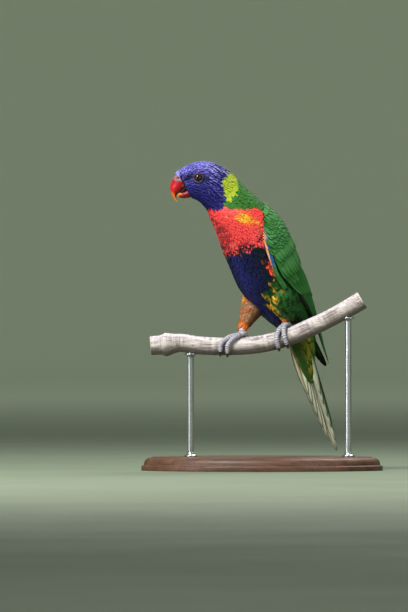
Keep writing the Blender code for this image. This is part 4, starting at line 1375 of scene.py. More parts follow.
@dataclass
class BodySkin:
    """One skin under the coat: trunk, thighs, tail root and the wings' bases in one surface."""

    markings: Markings
    depth: float = 1.3
    face_depth: float = 0.5
    crown_depth: float = 0.75
    thigh_depth: float = 1.2
    tail_depth: float = 1.0
    wing_depth: float = 1.4
    wing_rise: float = 1.6
    wing_sink: float = 4.0
    voxel: float = 1.1

    @staticmethod
    def grid(stop: float, rings: int, sides: int) -> tuple[Array, Array]:
        """Places and angles of the points of a tube."""
        return np.linspace(0.0, stop, rings)[:, None], np.linspace(-180, 180, sides, endpoint=False)[None]

    def trunk_depth(self, place: Array, angle: Array) -> Array:
        """Depth of the skin on the trunk, less at the face and more at the crown."""
        depth = self.face_depth + (self.depth - self.face_depth) * smoothstep(0.2, 6.0, place)
        crown = 1 - smoothstep(70, 110, np.abs(angle))
        return depth + self.crown_depth * crown * (1 - smoothstep(3.5, 6.0, place))

    def wing_base(self, side: Side) -> tuple[Array, Array, Array]:
        """Points, places and angles of the slab under one wing's coverts."""
        share = np.linspace(0, 1, 30)[:, None]
        place = 0.1 + 4.3 * share
        lead, back = wing_edges(place)
        lead, back, turn = lead - 4, back + 3, circle(48)[None]
        angle = (lead + back) / 2 - (lead - back) / 2 * np.cos(turn)
        top = np.sin(turn)
        high = np.sin(math.pi * np.clip(share, 0.04, 0.96)) ** 0.5
        rise = np.where(top > 0, self.wing_rise * high, -self.wing_sink)
        out = rise * np.abs(top) ** 0.5 - self.wing_depth
        return WingForm(side).point(place, angle, out), place, angle

    def parts(self) -> Iterator[tuple[Array, Array, Array, Callable]]:
        """Points, places, angles and look of each part of the body."""
        c, looks = self.markings.colours, self.markings
        place, angle = self.grid(TAIL_ROOT, 110, 96)
        yield BodyForm().point(place, angle, -self.trunk_depth(place, angle)), place, angle, looks.body
        for side in Side:
            place, angle = self.grid(len(THIGHS[side.word]) - 1, 40, 36)
            rows = ThighForm(side).point(place, angle, -self.thigh_depth)
            yield rows, place, angle, partial(looks.thigh, side)
            yield *self.wing_base(side), lambda at, _: Tint.plain(len(at), c.green_deep, c.green, 0.0, 0.0)
        place, angle = self.grid(len(TAIL_CORE) - 1, 40, 48)
        yield TailRootForm().point(place, angle, -self.tail_depth), place, angle, looks.tail_root

    def build(self, groups: Groups) -> None:
        """Join the parts by voxels, smooth them and colour them as the coat is."""
        shells, tints = [], []
        for rows, place, angle, look in self.parts():
            shells.append(tube(rows))
            tints.append(look(*(values.ravel() for values in np.broadcast_arrays(place, angle))))
        rough = Shell.joined(shells)
        holder = add_object("skin_rough", rough.mesh("skin"))
        remesh = holder.modifiers.new("voxels", "REMESH")
        remesh.mode = "VOXEL"
        remesh.voxel_size = self.voxel * MM
        remesh.use_smooth_shade = True
        smooth = holder.modifiers.new("smooth", "SMOOTH")
        smooth.iterations = 4
        smooth.factor = 0.5
        graph = bpy.context.evaluated_depsgraph_get()
        joined = bpy.data.meshes.new_from_object(holder.evaluated_get(graph))
        bpy.data.objects.remove(holder)
        tree = KDTree(len(rough.points))
        for index, sample in enumerate(rough.points):
            tree.insert(sample, index)
        tree.balance()
        points = np.empty(len(joined.vertices) * 3, dtype=np.float32)
        joined.vertices.foreach_get("co", points)
        near = np.array([tree.find(point)[1] for point in points.reshape(-1, 3) / MM])
        for key in ("ground", "fringe"):
            add_layer(joined, key, np.concatenate([getattr(tint, key) for tint in tints])[near])
        for key, value in (("along", 0.5), ("across", 0.5), ("chance", 0.1), ("streak", 0.0),
                           ("bar", 0.0)):
            add_layer(joined, key, np.full(len(near), value))
        place_piece("body_skin", joined, PlumageFinish("skin_down", bump=0.1).make(groups),
                    "body_feathers", "head", "neck", "torso", "thigh_left", "thigh_right")


@dataclass
class BodyCoat:
    """Small feathers of head, neck, breast, belly, back and thighs."""

    markings: Markings
    limit: int = 190000
    places: tuple = (0, 1, 3, 5, 6.5, 8, 11, 15)
    spacing: tuple = (0.8, 0.95, 1.2, 1.4, 1.65, 1.9, 2.4, 2.7)
    length: tuple = (1.6, 2.4, 3.6, 4.4, 5.4, 6.8, 9.5, 10.5)
    width: tuple = (0.5, 0.6, 0.7, 0.88, 1.25, 1.6, 2.3, 2.6)
    thigh_places: tuple = (0, 2.5, 4)
    thigh_length: tuple = (9.0, 7.5, 3.6)
    thigh_width: tuple = (2.1, 1.8, 0.9)
    eye_clear: float = 4.75

    def roots(self) -> tuple[Array, Array]:
        """Roots on the trunk, without those under the wings and round the eyes."""
        place, angle = scatter(BodyForm(), -0.6, TAIL_ROOT - 0.1, (self.places, self.spacing), 41)
        angle = wrapped(angle)
        a = np.abs(angle)
        brow = place > -0.58 + 0.62 * smoothstep(20, 62, a)
        lead, back = wing_edges(place - WING_START)
        hidden = (place > 8.6) & (place < 13.6) & (a > back + 14) & (a < lead - 20)
        spot = BodyForm().point(place, angle, 0.0)
        length = np.interp(place, self.places, self.length)
        ahead = BodyForm().point(place + 0.05, angle, 0.0) - spot
        tip = spot + unit(ahead) * (length * 0.8)[:, None]
        near = np.zeros(len(place), dtype=bool)
        for point in (spot, (spot + tip) / 2, tip):
            near |= np.hypot(point[:, 0] - EYE_PLACE[0], point[:, 2] - EYE_PLACE[1]) < self.eye_clear
        near &= (a > 40) & (a < 130)
        keep = ~hidden & ~near & brow
        return place[keep], angle[keep]

    def build(self, groups: Groups) -> None:
        """Lay the trunk's coat in zones, then the thighs' coats."""
        place, angle = self.roots()
        a = np.abs(angle)
        zones = (
            ("head_coat", (place < 5.9) & (a < 92), "head_feathers",
             VaneKind(6, 2, 0.55, 0.5, 0.55, 0.18, 0.14, ragged=0.1),
             PlumageFinish("plumage_crown", barbs=9.0, root_shade=0.35, edge_shade=0.6)),
            ("cheek_coat", (place < 5.9) & (a >= 92), "head_feathers",
             VaneKind(6, 2, 0.55, 0.5, 0.5, 0.14, 0.08, ragged=0.08),
             PlumageFinish("plumage_cheek", barbs=9.0, root_shade=0.15, edge_shade=0.3, gloss=0.1)),
            ("neck_coat", (place >= 5.9) & (place < 8.8), "neck_feathers",
             VaneKind(7, 4, 0.5, 0.55, 0.5, 0.08, 0.03, ragged=0.14),
             PlumageFinish("plumage_neck", barbs=14.0, root_shade=0.1, edge_shade=0.08, variety=0.1)),
            ("breast_coat", place >= 8.8, "body_feathers",
             VaneKind(7, 4, 0.5, 0.55, 0.5, 0.16, 0.12, ragged=0.14),
             PlumageFinish("plumage_breast", barbs=18.0, root_shade=0.3, edge_shade=0.2)),
        )
        for name, chosen, slot, kind, finish in zones:
            self.lay(name, BodyForm(), place[chosen], angle[chosen], self.markings.body, kind,
                     finish.make(groups), slot, (0.0, 0.62, float(TAIL_ROOT)), 1.0)
        finish = PlumageFinish("plumage_thigh", barbs=16.0, root_shade=0.4).make(groups)
        kind = VaneKind(7, 4, 0.5, 0.55, 0.5, 0.22, 0.25, ragged=0.14)
        for side, low in ((Side.LEFT, 0.66), (Side.RIGHT, 0.8)):
            place, angle = scatter(ThighForm(side), 0.3, 3.86, ((0, 2, 4), (2.4, 2.2, 1.3)), 43)
            self.lay(f"thigh_{side.word}_coat", ThighForm(side), place, angle,
                     partial(self.markings.thigh, side), kind, finish, "thigh_feathers",
                     (low, low + 0.12, 4.0), 0.0)

    def lay(self, name: str, form: Form, place: Array, angle: Array, look: object,
            kind: VaneKind, material: bpy.types.Material, slot: str, strip: tuple,
            body: float) -> None:
        """Lay one zone's feathers as pieces under the limit of triangles.

        Args:
            name: Name of the pieces.
            form: Surface under them.
            place: Places of the roots.
            angle: Angles of the roots.
            look: Gives the tint at places and angles.
            kind: Outline of the feathers.
            material: Their finish.
            slot: Slot of the record.
            strip: Low and high end of the map's strip, and the form's length.
            body: 1 on the trunk, where sizes follow the place, and 0 on a thigh.
        """
        count = len(place)
        rng = np.random.default_rng(int(count))
        by_place, by_angle = form.scale(place, angle)
        if body:
            length = np.interp(place, self.places, self.length)
            width = np.interp(place, self.places, self.width)
            brow = 1 - smoothstep(-0.1, 0.7, place)
            depth = 0.4 - 0.3 * brow + 0.7 * smoothstep(0.0, 6.0, place)
            top = 1 - smoothstep(70, 110, np.abs(angle))
            lower = 0.75 * top * (1 - smoothstep(3.5, 6.0, place)) * smoothstep(-0.1, 0.9, place)
            lower = lower - 0.3 * brow * top
        else:
            length = np.interp(place, self.thigh_places, self.thigh_length)
            width = np.interp(place, self.thigh_places, self.thigh_width)
            depth = turned(count, 1.0)
            lower = turned(count, 0.0)
        calm = 1 - 0.6 * body * smoothstep(5.6, 6.4, place) * (1 - smoothstep(8.6, 9.4, place))
        rise = rng.uniform(-0.1, 0.16, count) * np.clip(depth, 0.4, 1) * calm - lower
        length = length * rng.uniform(0.85, 1.15, count)
        width = width * rng.uniform(0.9, 1.1, count)
        drift = np.radians(8.0 * ripple(place * 3.0, angle * 0.12, 77) + rng.uniform(-4, 4, count))
        vanes = Vanes(
            place, angle, place + np.minimum(length * np.cos(drift) / by_place, 1.5),
            angle + length * np.sin(drift) / by_angle,
            rng.uniform(-0.08, 0.08, count) * length / by_angle, width, -depth - lower,
            rise, rng.uniform(-3, 3, count),
            look(place + 0.75 * length / np.maximum(by_place, 3.0), angle), unwrap(place, angle, *strip),
            MAP_SPECK)
        t, _ = kind.stations()
        sides = len(kind.columns()[0])
        each = 2 * (len(t) - 1) * sides + 2 * (sides - 2)
        pieces = math.ceil(count * each / self.limit)
        order = np.argsort(place, kind="stable")
        for k in range(pieces):
            chosen = order[count * k // pieces:count * (k + 1) // pieces]
            shell = vanes.part(chosen).lay(form, kind, 100 + k)
            title = name if pieces == 1 else f"{name}_{k + 1}"
            place_piece(title, shell, material, slot)


def strips(count: int, columns: int) -> tuple[Array, tuple]:
    """Middles and size of a grid of map strips, one for each large feather."""
    rows = math.ceil(count / columns)
    k = np.arange(count)
    middle = np.stack([(k % columns + 0.5) / columns, (k // columns + 0.5) / rows], axis=-1)
    return middle, (0.9 / columns, 0.94 / rows)


# Kinds of the wing's large feathers
FLIGHT = VaneKind(26, 8, 0.55, 0.45, 0.62, 0.26, 0.3, 0.16, 0.3, 0.035, 0.8)
COVERT = VaneKind(14, 8, 0.55, 0.55, 0.5, 0.28, 0.45, 0.08, 0.1, 0.05, 0.8)


@dataclass(frozen=True)
class FeatherRow:
    """Large feathers side by side, from the first to the last of them.

    Each pair of numbers is the value at the first and at the last feather.
    """

    name: str
    kind: VaneKind
    count: int
    root_place: tuple
    root_angle: tuple
    tip_place: tuple
    tip_angle: tuple
    half_width: tuple
    sink: tuple
    rise: tuple
    bend: tuple = (0.0, 0.0)
    swell: float = 0.0
    roll: float = 8.0
    jitter: float = 0.03

    def vanes(self, tint: Tint, seed: int) -> Vanes:
        """The row's feathers with small seeded differences."""
        rng = np.random.default_rng(seed)
        middle, size = strips(self.count, 7)
        bow = np.sin(np.linspace(0, math.pi, self.count)) * self.swell
        root_place, root_angle, tip_place, tip_angle, half_width, sink, rise, bend = (
            np.linspace(*ends, self.count)
            for ends in (self.root_place, self.root_angle, self.tip_place, self.tip_angle,
                         self.half_width, self.sink, self.rise, self.bend))
        return Vanes(root_place, root_angle,
                     tip_place + bow + rng.uniform(-self.jitter, self.jitter, self.count),
                     tip_angle + rng.uniform(-1, 1, self.count) * 12 * self.jitter, bend, half_width,
                     sink, rise + rng.uniform(-0.08, 0.08, self.count),
                     turned(self.count, self.roll), tint, middle, size)


@dataclass
class Wing:
    """One folded wing: flight feathers and the tiers of coverts over them."""

    side: Side
    colours: Palette
    rows: tuple = (
        FeatherRow("primaries", FLIGHT, 9, (2.8, 2.8), (102, 77), (8.1, 5.7), (62, 36), (3.6, 3.9),
                   (-0.9, -0.7), (1.3, 0.9), (-7.0, 0.0), 0.55),
        FeatherRow("primary_coverts", COVERT, 7, (1.9, 1.9), (108, 96), (3.75, 3.45), (92, 78),
                   (2.6, 3.0), (-0.4, -0.2), (0.7, 1.0)),
        FeatherRow("secondaries", FLIGHT, 10, (2.4, 2.2), (98, 33), (4.1, 5.05), (86, 29), (4.0, 4.6),
                   (-0.4, -0.2), (1.2, 1.6), (1.0, 1.0)),
        FeatherRow("tertials", FLIGHT, 3, (2.2, 2.0), (27, 14), (5.2, 4.6), (23, 13), (4.8, 5.0),
                   (0.0, 0.3), (2.0, 2.3), (1.0, 1.0)),
        FeatherRow("alula", COVERT, 3, (1.2, 1.3), (107, 101), (2.9, 2.5), (104, 97), (2.3, 2.6),
                   (0.0, 0.2), (1.2, 1.5)),
        FeatherRow("greater_coverts", COVERT, 12, (1.8, 1.6), (100, 19), (2.95, 3.2), (97, 18),
                   (4.0, 4.8), (-0.1, 0.1), (1.7, 2.1)),
        FeatherRow("median_coverts", COVERT, 14, (1.3, 1.15), (103, 20), (2.12, 2.25), (101, 19),
                   (3.4, 3.9), (0.0, 0.1), (1.8, 2.2)),
    )
    far_primaries: tuple = (("tip_place", (8.75, 5.7)), ("tip_angle", (9, 24)),
                            ("half_width", (5.2, 3.9)), ("rise", (2.4, 0.9)))
    lesser_tiers: int = 9
    lesser_start: float = -0.12
    lesser_step: float = 0.16
    edge: tuple = ((-0.2, 0.35, 0.6, 0.9, 1.4, 1.8, 2.2, 3.0, 4.0),
                   (74, 93, 103, 111, 115, 116, 116, 111, 98))

    def look(self, row: FeatherRow) -> Tint:
        """Colours of a row; the outer primaries are black, on the far wing most of all."""
        c = self.colours
        if row.name == "greater_coverts":
            return Tint.plain(row.count, c.wing, c.wing_deep, 0.0, 0.4)
        if row.name == "median_coverts":
            return Tint.plain(row.count, c.wing, c.green_blue, 0.0, 0.5)
        tint = Tint.plain(row.count, c.wing_deep, c.wing, 0.0, 0.5)
        if row.name == "primaries":
            far = self.side is Side.RIGHT
            outer = 1 - smoothstep(*((0.3, 0.9) if far else (0.0, 0.3)), np.linspace(0, 1, row.count))
            tint.paint(outer, c.black, c.black if far else c.wing_deep, 0.0, 0.4)
        return tint

    def build(self, groups: Groups) -> None:
        """Lay every tier as a piece of the wing."""
        form = WingForm(self.side)
        finish = PlumageFinish("plumage_wing", barbs=34.0, shaft=0.5, shaft_place=0.3,
                               root_shade=0.25, edge_shade=0.45)
        material = finish.make(groups)
        for k, row in enumerate(self.rows):
            nodes = (f"wing_{self.side.word}",) if row.name == "primaries" else ()
            if nodes and self.side is Side.RIGHT:
                row = replace(row, **dict(self.far_primaries))
            shell = row.vanes(self.look(row), 60 + k).lay(form, row.kind, 160 + k)
            place_piece(f"wing_{self.side.word}_{row.name}", shell, material, "wing_feathers", *nodes)
        self.lesser(form, VaneKind(8, 4, 0.55, 0.55, 0.5, 0.22, 0.2, ragged=0.1), groups)

    def lesser(self, form: WingForm, kind: VaneKind, groups: Groups) -> None:
        """Lay the small coverts of the shoulder and along the leading edge."""
        c = self.colours
        rng = np.random.default_rng(90)
        table = []
        for tier in range(self.lesser_tiers):
            place = self.lesser_start + self.lesser_step * tier
            lead = float(np.interp(place, *self.edge)) - 4
            back = float(wing_edges(place)[1]) + 1
            count = round((lead - back) / 3.6)
            turn = np.linspace(lead, back, count) - (1.8 if tier % 2 else 0.0)
            table.append((place + rng.uniform(-0.05, 0.05, count), turn + rng.uniform(-0.8, 0.8, count),
                          turned(count, 6.4 + 0.35 * tier), turned(count, 2.0 + 0.1 * tier),
                          turned(count, 0.5 + 1.3 * min(tier / 5, 1))))
        for rank in range(3):
            place = np.arange(0.3 + 0.05 * rank, 3.0, 0.1)
            count = len(place)
            table.append((place, np.interp(place, *self.edge) + 1.4 - 2.3 * rank, turned(count, 9.5),
                          turned(count, 0.7 + 0.2 * rank), turned(count, -0.1 + 0.35 * rank)))
        place, angle, length, width, rise = (np.concatenate(column) for column in zip(*table))
        count = len(place)
        by_place = form.scale(place, angle)[0]
        tint = Tint.plain(count, c.wing, c.green_blue, 0.0, 0.5)
        tint.paint(smoothstep(-0.3, 0.5, ripple(place * 8.0, angle * 0.2, 92)), c.wing_deep, c.wing,
                   0.0, 0.6)
        lead = np.interp(place, *self.edge)
        strip = smoothstep(0.35, 0.6, place) * (1 - smoothstep(1.5, 1.9, place))
        narrow = width < 1.3
        tint.paint(narrow * smoothstep(lead - 4.5, lead - 2.5, angle) * strip, c.blue, c.sky, 0.0, 0.4)
        tint.paint(narrow * smoothstep(lead, lead + 0.8, angle) * strip, c.peach, c.orange, 0.0, 0.3)
        tint.paint(smoothstep(0.9, 0.0, place) * 0.15, c.wing, c.green_light, 0.0, 0.5)
        vanes = Vanes(place, angle, place + length * rng.uniform(0.92, 1.08, count) / by_place,
                      angle + np.where(narrow, 0.6, rng.uniform(-1.6, 0.4, count)),
                      turned(count, 0.0), width, turned(count, -0.9),
                      rise + rng.uniform(-0.08, 0.1, count), np.where(narrow, 1.0, 5.0), tint,
                      unwrap(place, angle, 0.0, 0.5, 3.2), MAP_SPECK)
        finish = PlumageFinish("plumage_lesser_coverts", barbs=18.0, root_shade=0.3, edge_shade=0.4)
        place_piece(f"wing_{self.side.word}_lesser_coverts", vanes.lay(form, kind, 95),
                    finish.make(groups), "wing_feathers")


@dataclass
class Tail:
    """Six pairs of graduated feathers and the coverts at their roots."""

    markings: Markings
    lengths: tuple = (112.0, 101.0, 89.0, 77.0, 66.0, 56.0)
    root: float = 4.0
    layer: float = 0.85
    half_width: float = 5.7
    centre_spread: tuple = (1.2, 0.3)
    root_spread: tuple = (4.4, 0.9)
    tip_spread: tuple = (3.9, 0.85)

    def build(self, groups: Groups) -> None:
        """Lay the long feathers and their coverts."""
        c = self.markings.colours
        pairs = len(self.lengths)
        rank, way = np.tile(np.arange(pairs), 2), np.repeat([1.0, -1.0], pairs)
        at_root = self.root_spread[0] + self.root_spread[1] * rank
        at_tip = self.tip_spread[0] + self.tip_spread[1] * rank
        at_root[rank == 0], at_tip[rank == 0] = self.centre_spread
        drop = -self.layer * (rank + 1)
        drop[0] = 0.0
        count = 2 * pairs
        tint = Tint.plain(count, c.green_deep, c.green, 0.0, 0.3)
        middle, size = strips(count, 12)
        vanes = Vanes(turned(count, self.root), at_root * way, np.tile(self.lengths, 2), at_tip * way,
                      turned(count, 0.0), turned(count, self.half_width), drop, drop * 0.8,
                      np.where(rank > 0, -3.0 * way, 0.0), tint, middle, size)
        kind = VaneKind(34, 8, 0.6, 0.5, 0.85, 0.3, 0.3, 0.2, 0.0, 0.03, 1.0)
        shell = vanes.lay(TailForm(), kind, 71)
        each = len(shell.points) // count
        below = np.tile(kind.columns()[1] < 0, len(shell.points) // len(kind.columns()[1]))
        below |= np.abs(shell.values["across"]) > 0.99
        self.two_faced(shell, below, np.repeat(way, each), np.repeat(rank, each))
        finish = PlumageFinish("plumage_tail", barbs=40.0, shaft=0.6, root_shade=0.0, edge_shade=0.15,
                               variety=0.1)
        place_piece("tail_feathers", shell, finish.make(groups), "tail_feathers", "tail")
        self.coverts(groups)

    def two_faced(self, shell: Shell, below: Array, way: Array, rank: Array) -> None:
        """Tint the tail green above and pale below, dusky along the outer edges.

        Args:
            shell: The feathers.
            below: Whether each vertex is on the underside.
            way: 1 for the left feathers' vertices and -1 for the right ones'.
            rank: The vertices' pair, 0 in the middle.
        """
        c = self.markings.colours
        along, outer = shell.values["along"], shell.values["across"] * way
        tip = smoothstep(0.88, 1.0, along)
        pale = blend(c.cream, c.olive, smoothstep(0.55, 0.2, along) * 0.8)
        near_side = blend(pale, c.green_deep, smoothstep(0.62, 0.76, outer) * (rank > 0))
        far_side = blend(pale, c.olive, smoothstep(-0.2, 0.1, outer) * (1 - tip))
        far_side = blend(far_side, tone(236, 214, 202), smoothstep(0.2, 0.4, outer))
        far_side = blend(far_side, c.green_dark, smoothstep(0.72, 0.82, outer))
        under = blend(np.where(way[:, None] < 0, far_side, near_side), tone(104, 118, 104), tip)
        upper = np.array(c.green) * (1 - tip[:, None] * 0.4)
        lower = below[:, None]
        shell.values["ground"] = np.where(lower, under, upper)
        shell.values["fringe"] = np.where(lower, tone(70, 112, 74), c.green_deep)
        shell.values["streak"] = np.where(below, 0.16, 0.2)

    def coverts(self, groups: Groups) -> None:
        """Lay the coverts over the roots of the tail, above and below."""
        form = TailRootForm()
        place, angle = scatter(form, 0.2, 4.1, ((0, 2, 4), (3.2, 3.6, 4.0)), 72)
        count = len(place)
        by_place = form.scale(place, angle)[0]
        a = np.abs(wrapped(angle))
        length = np.interp(place, (0, 2, 4), (13.0, 17.0, 13.0)) * (1 + 0.15 * (a > 120))
        rng = np.random.default_rng(73)
        reach = np.minimum(place + length / by_place, 5.6)
        vanes = Vanes(place, angle, reach, angle + rng.uniform(-4, 4, count), turned(count, 0.0),
                      turned(count, 3.0), turned(count, -0.8), rng.uniform(0.0, 0.4, count),
                      rng.uniform(-6, 6, count), self.markings.tail_root(place, angle),
                      unwrap(place, angle, 0.0, 0.5, 5.0), MAP_SPECK)
        kind = VaneKind(9, 4, 0.5, 0.6, 0.6, 0.26, 0.35, ragged=0.12)
        finish = PlumageFinish("plumage_tail_coverts", barbs=24.0, root_shade=0.35)
        place_piece("tail_coverts", vanes.lay(form, kind, 74), finish.make(groups), "tail_feathers")


@dataclass
class Bill:
    """Hooked upper bill with its cere, and the lower bill."""

    sides: int = 64
    steps: int = 70
    nostril: tuple = (-73.1, 253.8)
    cere_edge: tuple = (250.2, 251.2)
    gape_lean: float = 48.0
    upper_base: tuple = (5.0, 7.4, 6.5)
    upper_ridge: float = 0.05
    lower_base: tuple = (-8.4, 4.0, 5.6)

    def rings(self, rows: tuple, base: tuple, sharp: float) -> tuple[Array, Array]:
        """Rings of one half of the bill.

        Args:
            rows: Its table.
            base: Place along the face, half depth and half width of its base.
            sharp: Strength of the ridge along its back.

        Returns:
            The rings, and their angles from the back.
        """
        centre, up = self.face()
        turn = circle(self.sides)
        table = [(*(centre + up * base[0])[[0, 2]], TRUNK[0][3], base[1], base[2]), *rows]
        row = smooth_rows(table, np.linspace(0, len(table) - 1, self.steps))
        back, left = section_axes(row[:, 2], np.zeros(len(row)))
        spot = np.stack([row[:, 0], np.full(len(row), TRUNK[0][1]), row[:, 1]], axis=-1)
        depth = row[:, 3, None] * np.cos(turn)[None] * (1 + sharp * np.clip(np.cos(turn), 0, 1) ** 8)
        side = np.sin(turn)
        width = row[:, 4, None] * (np.sign(side) * np.abs(side) ** 0.92)[None]
        return spot[:, None] + back[:, None] * depth[..., None] + left[:, None] * width[..., None], turn

    @staticmethod
    def face() -> tuple[Array, Array]:
        """Centre and upward axis of the flat face that the bill stands on."""
        x, y, z, lean = TRUNK[0][:4]
        back, _ = section_axes(np.array([lean]), np.array([0.0]))
        return np.array([x, y, z]), back[0]

    def build(self, groups: Groups) -> None:
        """Build both halves, the cere and the flesh at the gape."""
        horn = HornFinish("bill_horn", 0.4, 0.12, tone(180, 40, 34), 0.15, 700.0, 0.00006, 0.25)
        flesh = HornFinish("bare_flesh", 0.6, 0.1, tone(84, 76, 90), 0.25, 1500.0, 0.00012)
        # The mouth's lining is near-black: partly the dark inside of the mouth, partly painted shade
        inside = HornFinish("mouth_lining", 1.0, 0.0, tone(12, 8, 14), 0.3, 900.0, 0.00005)
        material = horn.make(groups)
        for half, table, base, ridge, edge in (
                ("upper", BILL_UPPER, self.upper_base, self.upper_ridge, (0.2, -0.9)),
                ("lower", BILL_LOWER, self.lower_base, 0.0, (-0.2, 0.8))):
            rows, turn = self.rings(table, base, ridge)
            place = np.linspace(0, 1, self.steps)[:, None] + 0 * turn
            rim = smoothstep(*edge, np.cos(turn)) + 0 * place
            place_piece(f"bill_{half}_horn", tube(rows, self.colour(place, rim, half == "upper")),
                        material, "bill", f"bill_{half}")
        self.cere(flesh.make(groups))
        self.mouth(inside.make(groups))

    def mouth(self, inside: bpy.types.Material) -> None:
        """Build the mouth between the halves, near-black as its dark lining with painted shade, and the
        paler folds at its corners.
        """
        lean = math.radians(self.gape_lean)
        axes = np.array([(math.cos(lean), 0, math.sin(lean)), (0, 1, 0),
                         (-math.sin(lean), 0, math.cos(lean))])
        polar, turn = np.linspace(0.02, math.pi - 0.02, 24)[:, None], circle(32)[None]
        shells = []
        # The mouth is near-black, partly its dark lining and partly painted shade; the folds at its corners
        # are pale
        for middle, half, colour in (((-67.6, 0.0, 243.8), (5.6, 4.7, 1.9), tone(12, 5, 12)),
                                     ((-65.2, -6.3, 245.4), (1.0, 0.8, 0.7), tone(92, 92, 100)),
                                     ((-65.2, 6.3, 245.4), (1.0, 0.8, 0.7), tone(92, 92, 100))):
            centre = np.array(middle) + (0, TRUNK[0][1], 0)
            rows = globe(centre, axes * np.array(half)[:, None], polar, turn)
            shells.append(tube(rows, np.array(colour) + 0 * rows))
        place_piece("bill_mouth", Shell.joined(shells), inside, "bill")

    @staticmethod
    def colour(place: Array, rim: Array, upper: bool) -> Array:
        """Colours of the horn from its base to its tip and towards the cutting edge, with painted shade:
        darker along the cutting edges near the gape, over much of the lower bill, and near-black under the
        upper bill's hook.
        """
        amber, dark = tone(236, 138, 24), tone(80, 6, 14)
        base = blend(tone(144, 6, 30), tone(180, 14, 28), smoothstep(0.12, 0.5, place))
        # Painted shade: darker along the cutting edges near the base, where the halves meet
        base = blend(base, dark, rim * (1 - smoothstep(0.3, 0.7, place)) * 0.6)
        if not upper:
            # The lower bill is painted much darker: partly its deeper red, partly painted shade under the
            # upper bill
            base = blend(base, dark, 0.7 + 0 * rim)
            base = blend(base, amber, rim * smoothstep(0.3, 0.55, place))
            return blend(base, amber, smoothstep(0.6, 0.85, place) * 0.7)
        base = blend(base, amber, (1 - rim) * smoothstep(0.5, 0.68, place) * 0.7)
        base = blend(base, amber, smoothstep(0.7, 0.86, place))
        base = blend(base, tone(240, 200, 110), smoothstep(0.86, 1.0, place) * 0.9)
        base = blend(base, amber, 0.7 * patch(place, rim, (0.08, 0.82), (0.045, 0.14)))
        # Painted shade: the underside of the upper bill's hook is painted near-black as the shade inside it
        inner = smoothstep(0.62, 0.9, rim) * smoothstep(0.4, 0.5, place)
        return blend(base, tone(14, 10, 30), inner * (1 - smoothstep(0.84, 0.95, place)))

    def cere(self, flesh: bpy.types.Material) -> None:
        """Build the pale band over the base of the upper bill, with raised nostrils whose openings are
        painted near-black as shade.
        """
        rows, _ = self.rings(BILL_UPPER, self.upper_base, self.upper_ridge)
        count = 44
        reach_along = np.linspace(0, 16.0, count)
        low = np.minimum(reach_along.astype(int), self.steps - 2)
        picked = rows[low] + (rows[low + 1] - rows[low]) * (reach_along - low)[:, None, None]
        outward = unit(picked - picked.mean(axis=1, keepdims=True))
        swell = (np.sin(math.pi * np.linspace(0, 1, count) ** 1.1) ** 0.6)[:, None]
        height = -0.5 + 0.95 * swell * smoothstep(*self.cere_edge, picked[..., 2])
        away = np.hypot(picked[..., 0] - self.nostril[0], picked[..., 2] - self.nostril[1])
        high = np.abs(picked[..., 1] - TRUNK[0][1]) > 1.2
        height = height + high * (0.4 * np.exp(-((away - 1.45) / 0.4) ** 2)
                                  - 0.7 * np.exp(-(away / 0.85) ** 2))
        height = np.maximum(height, 0.08 - 0.6 * smoothstep(1.1, 1.7, away))
        # The nostril openings are painted near-black: painted shade inside the holes
        nostril_shade = high * np.exp(-(away / 1.25) ** 6)
        front = smoothstep(1.0, 3.2, -picked[..., 0] + self.nostril[0] + 1.6)
        pale = blend(tone(112, 104, 120), tone(150, 86, 100), front)
        shell = tube(picked + outward * height[..., None], blend(pale, tone(6, 4, 8), nostril_shade))
        place_piece("bill_cere", shell, flesh, "foot_skin")


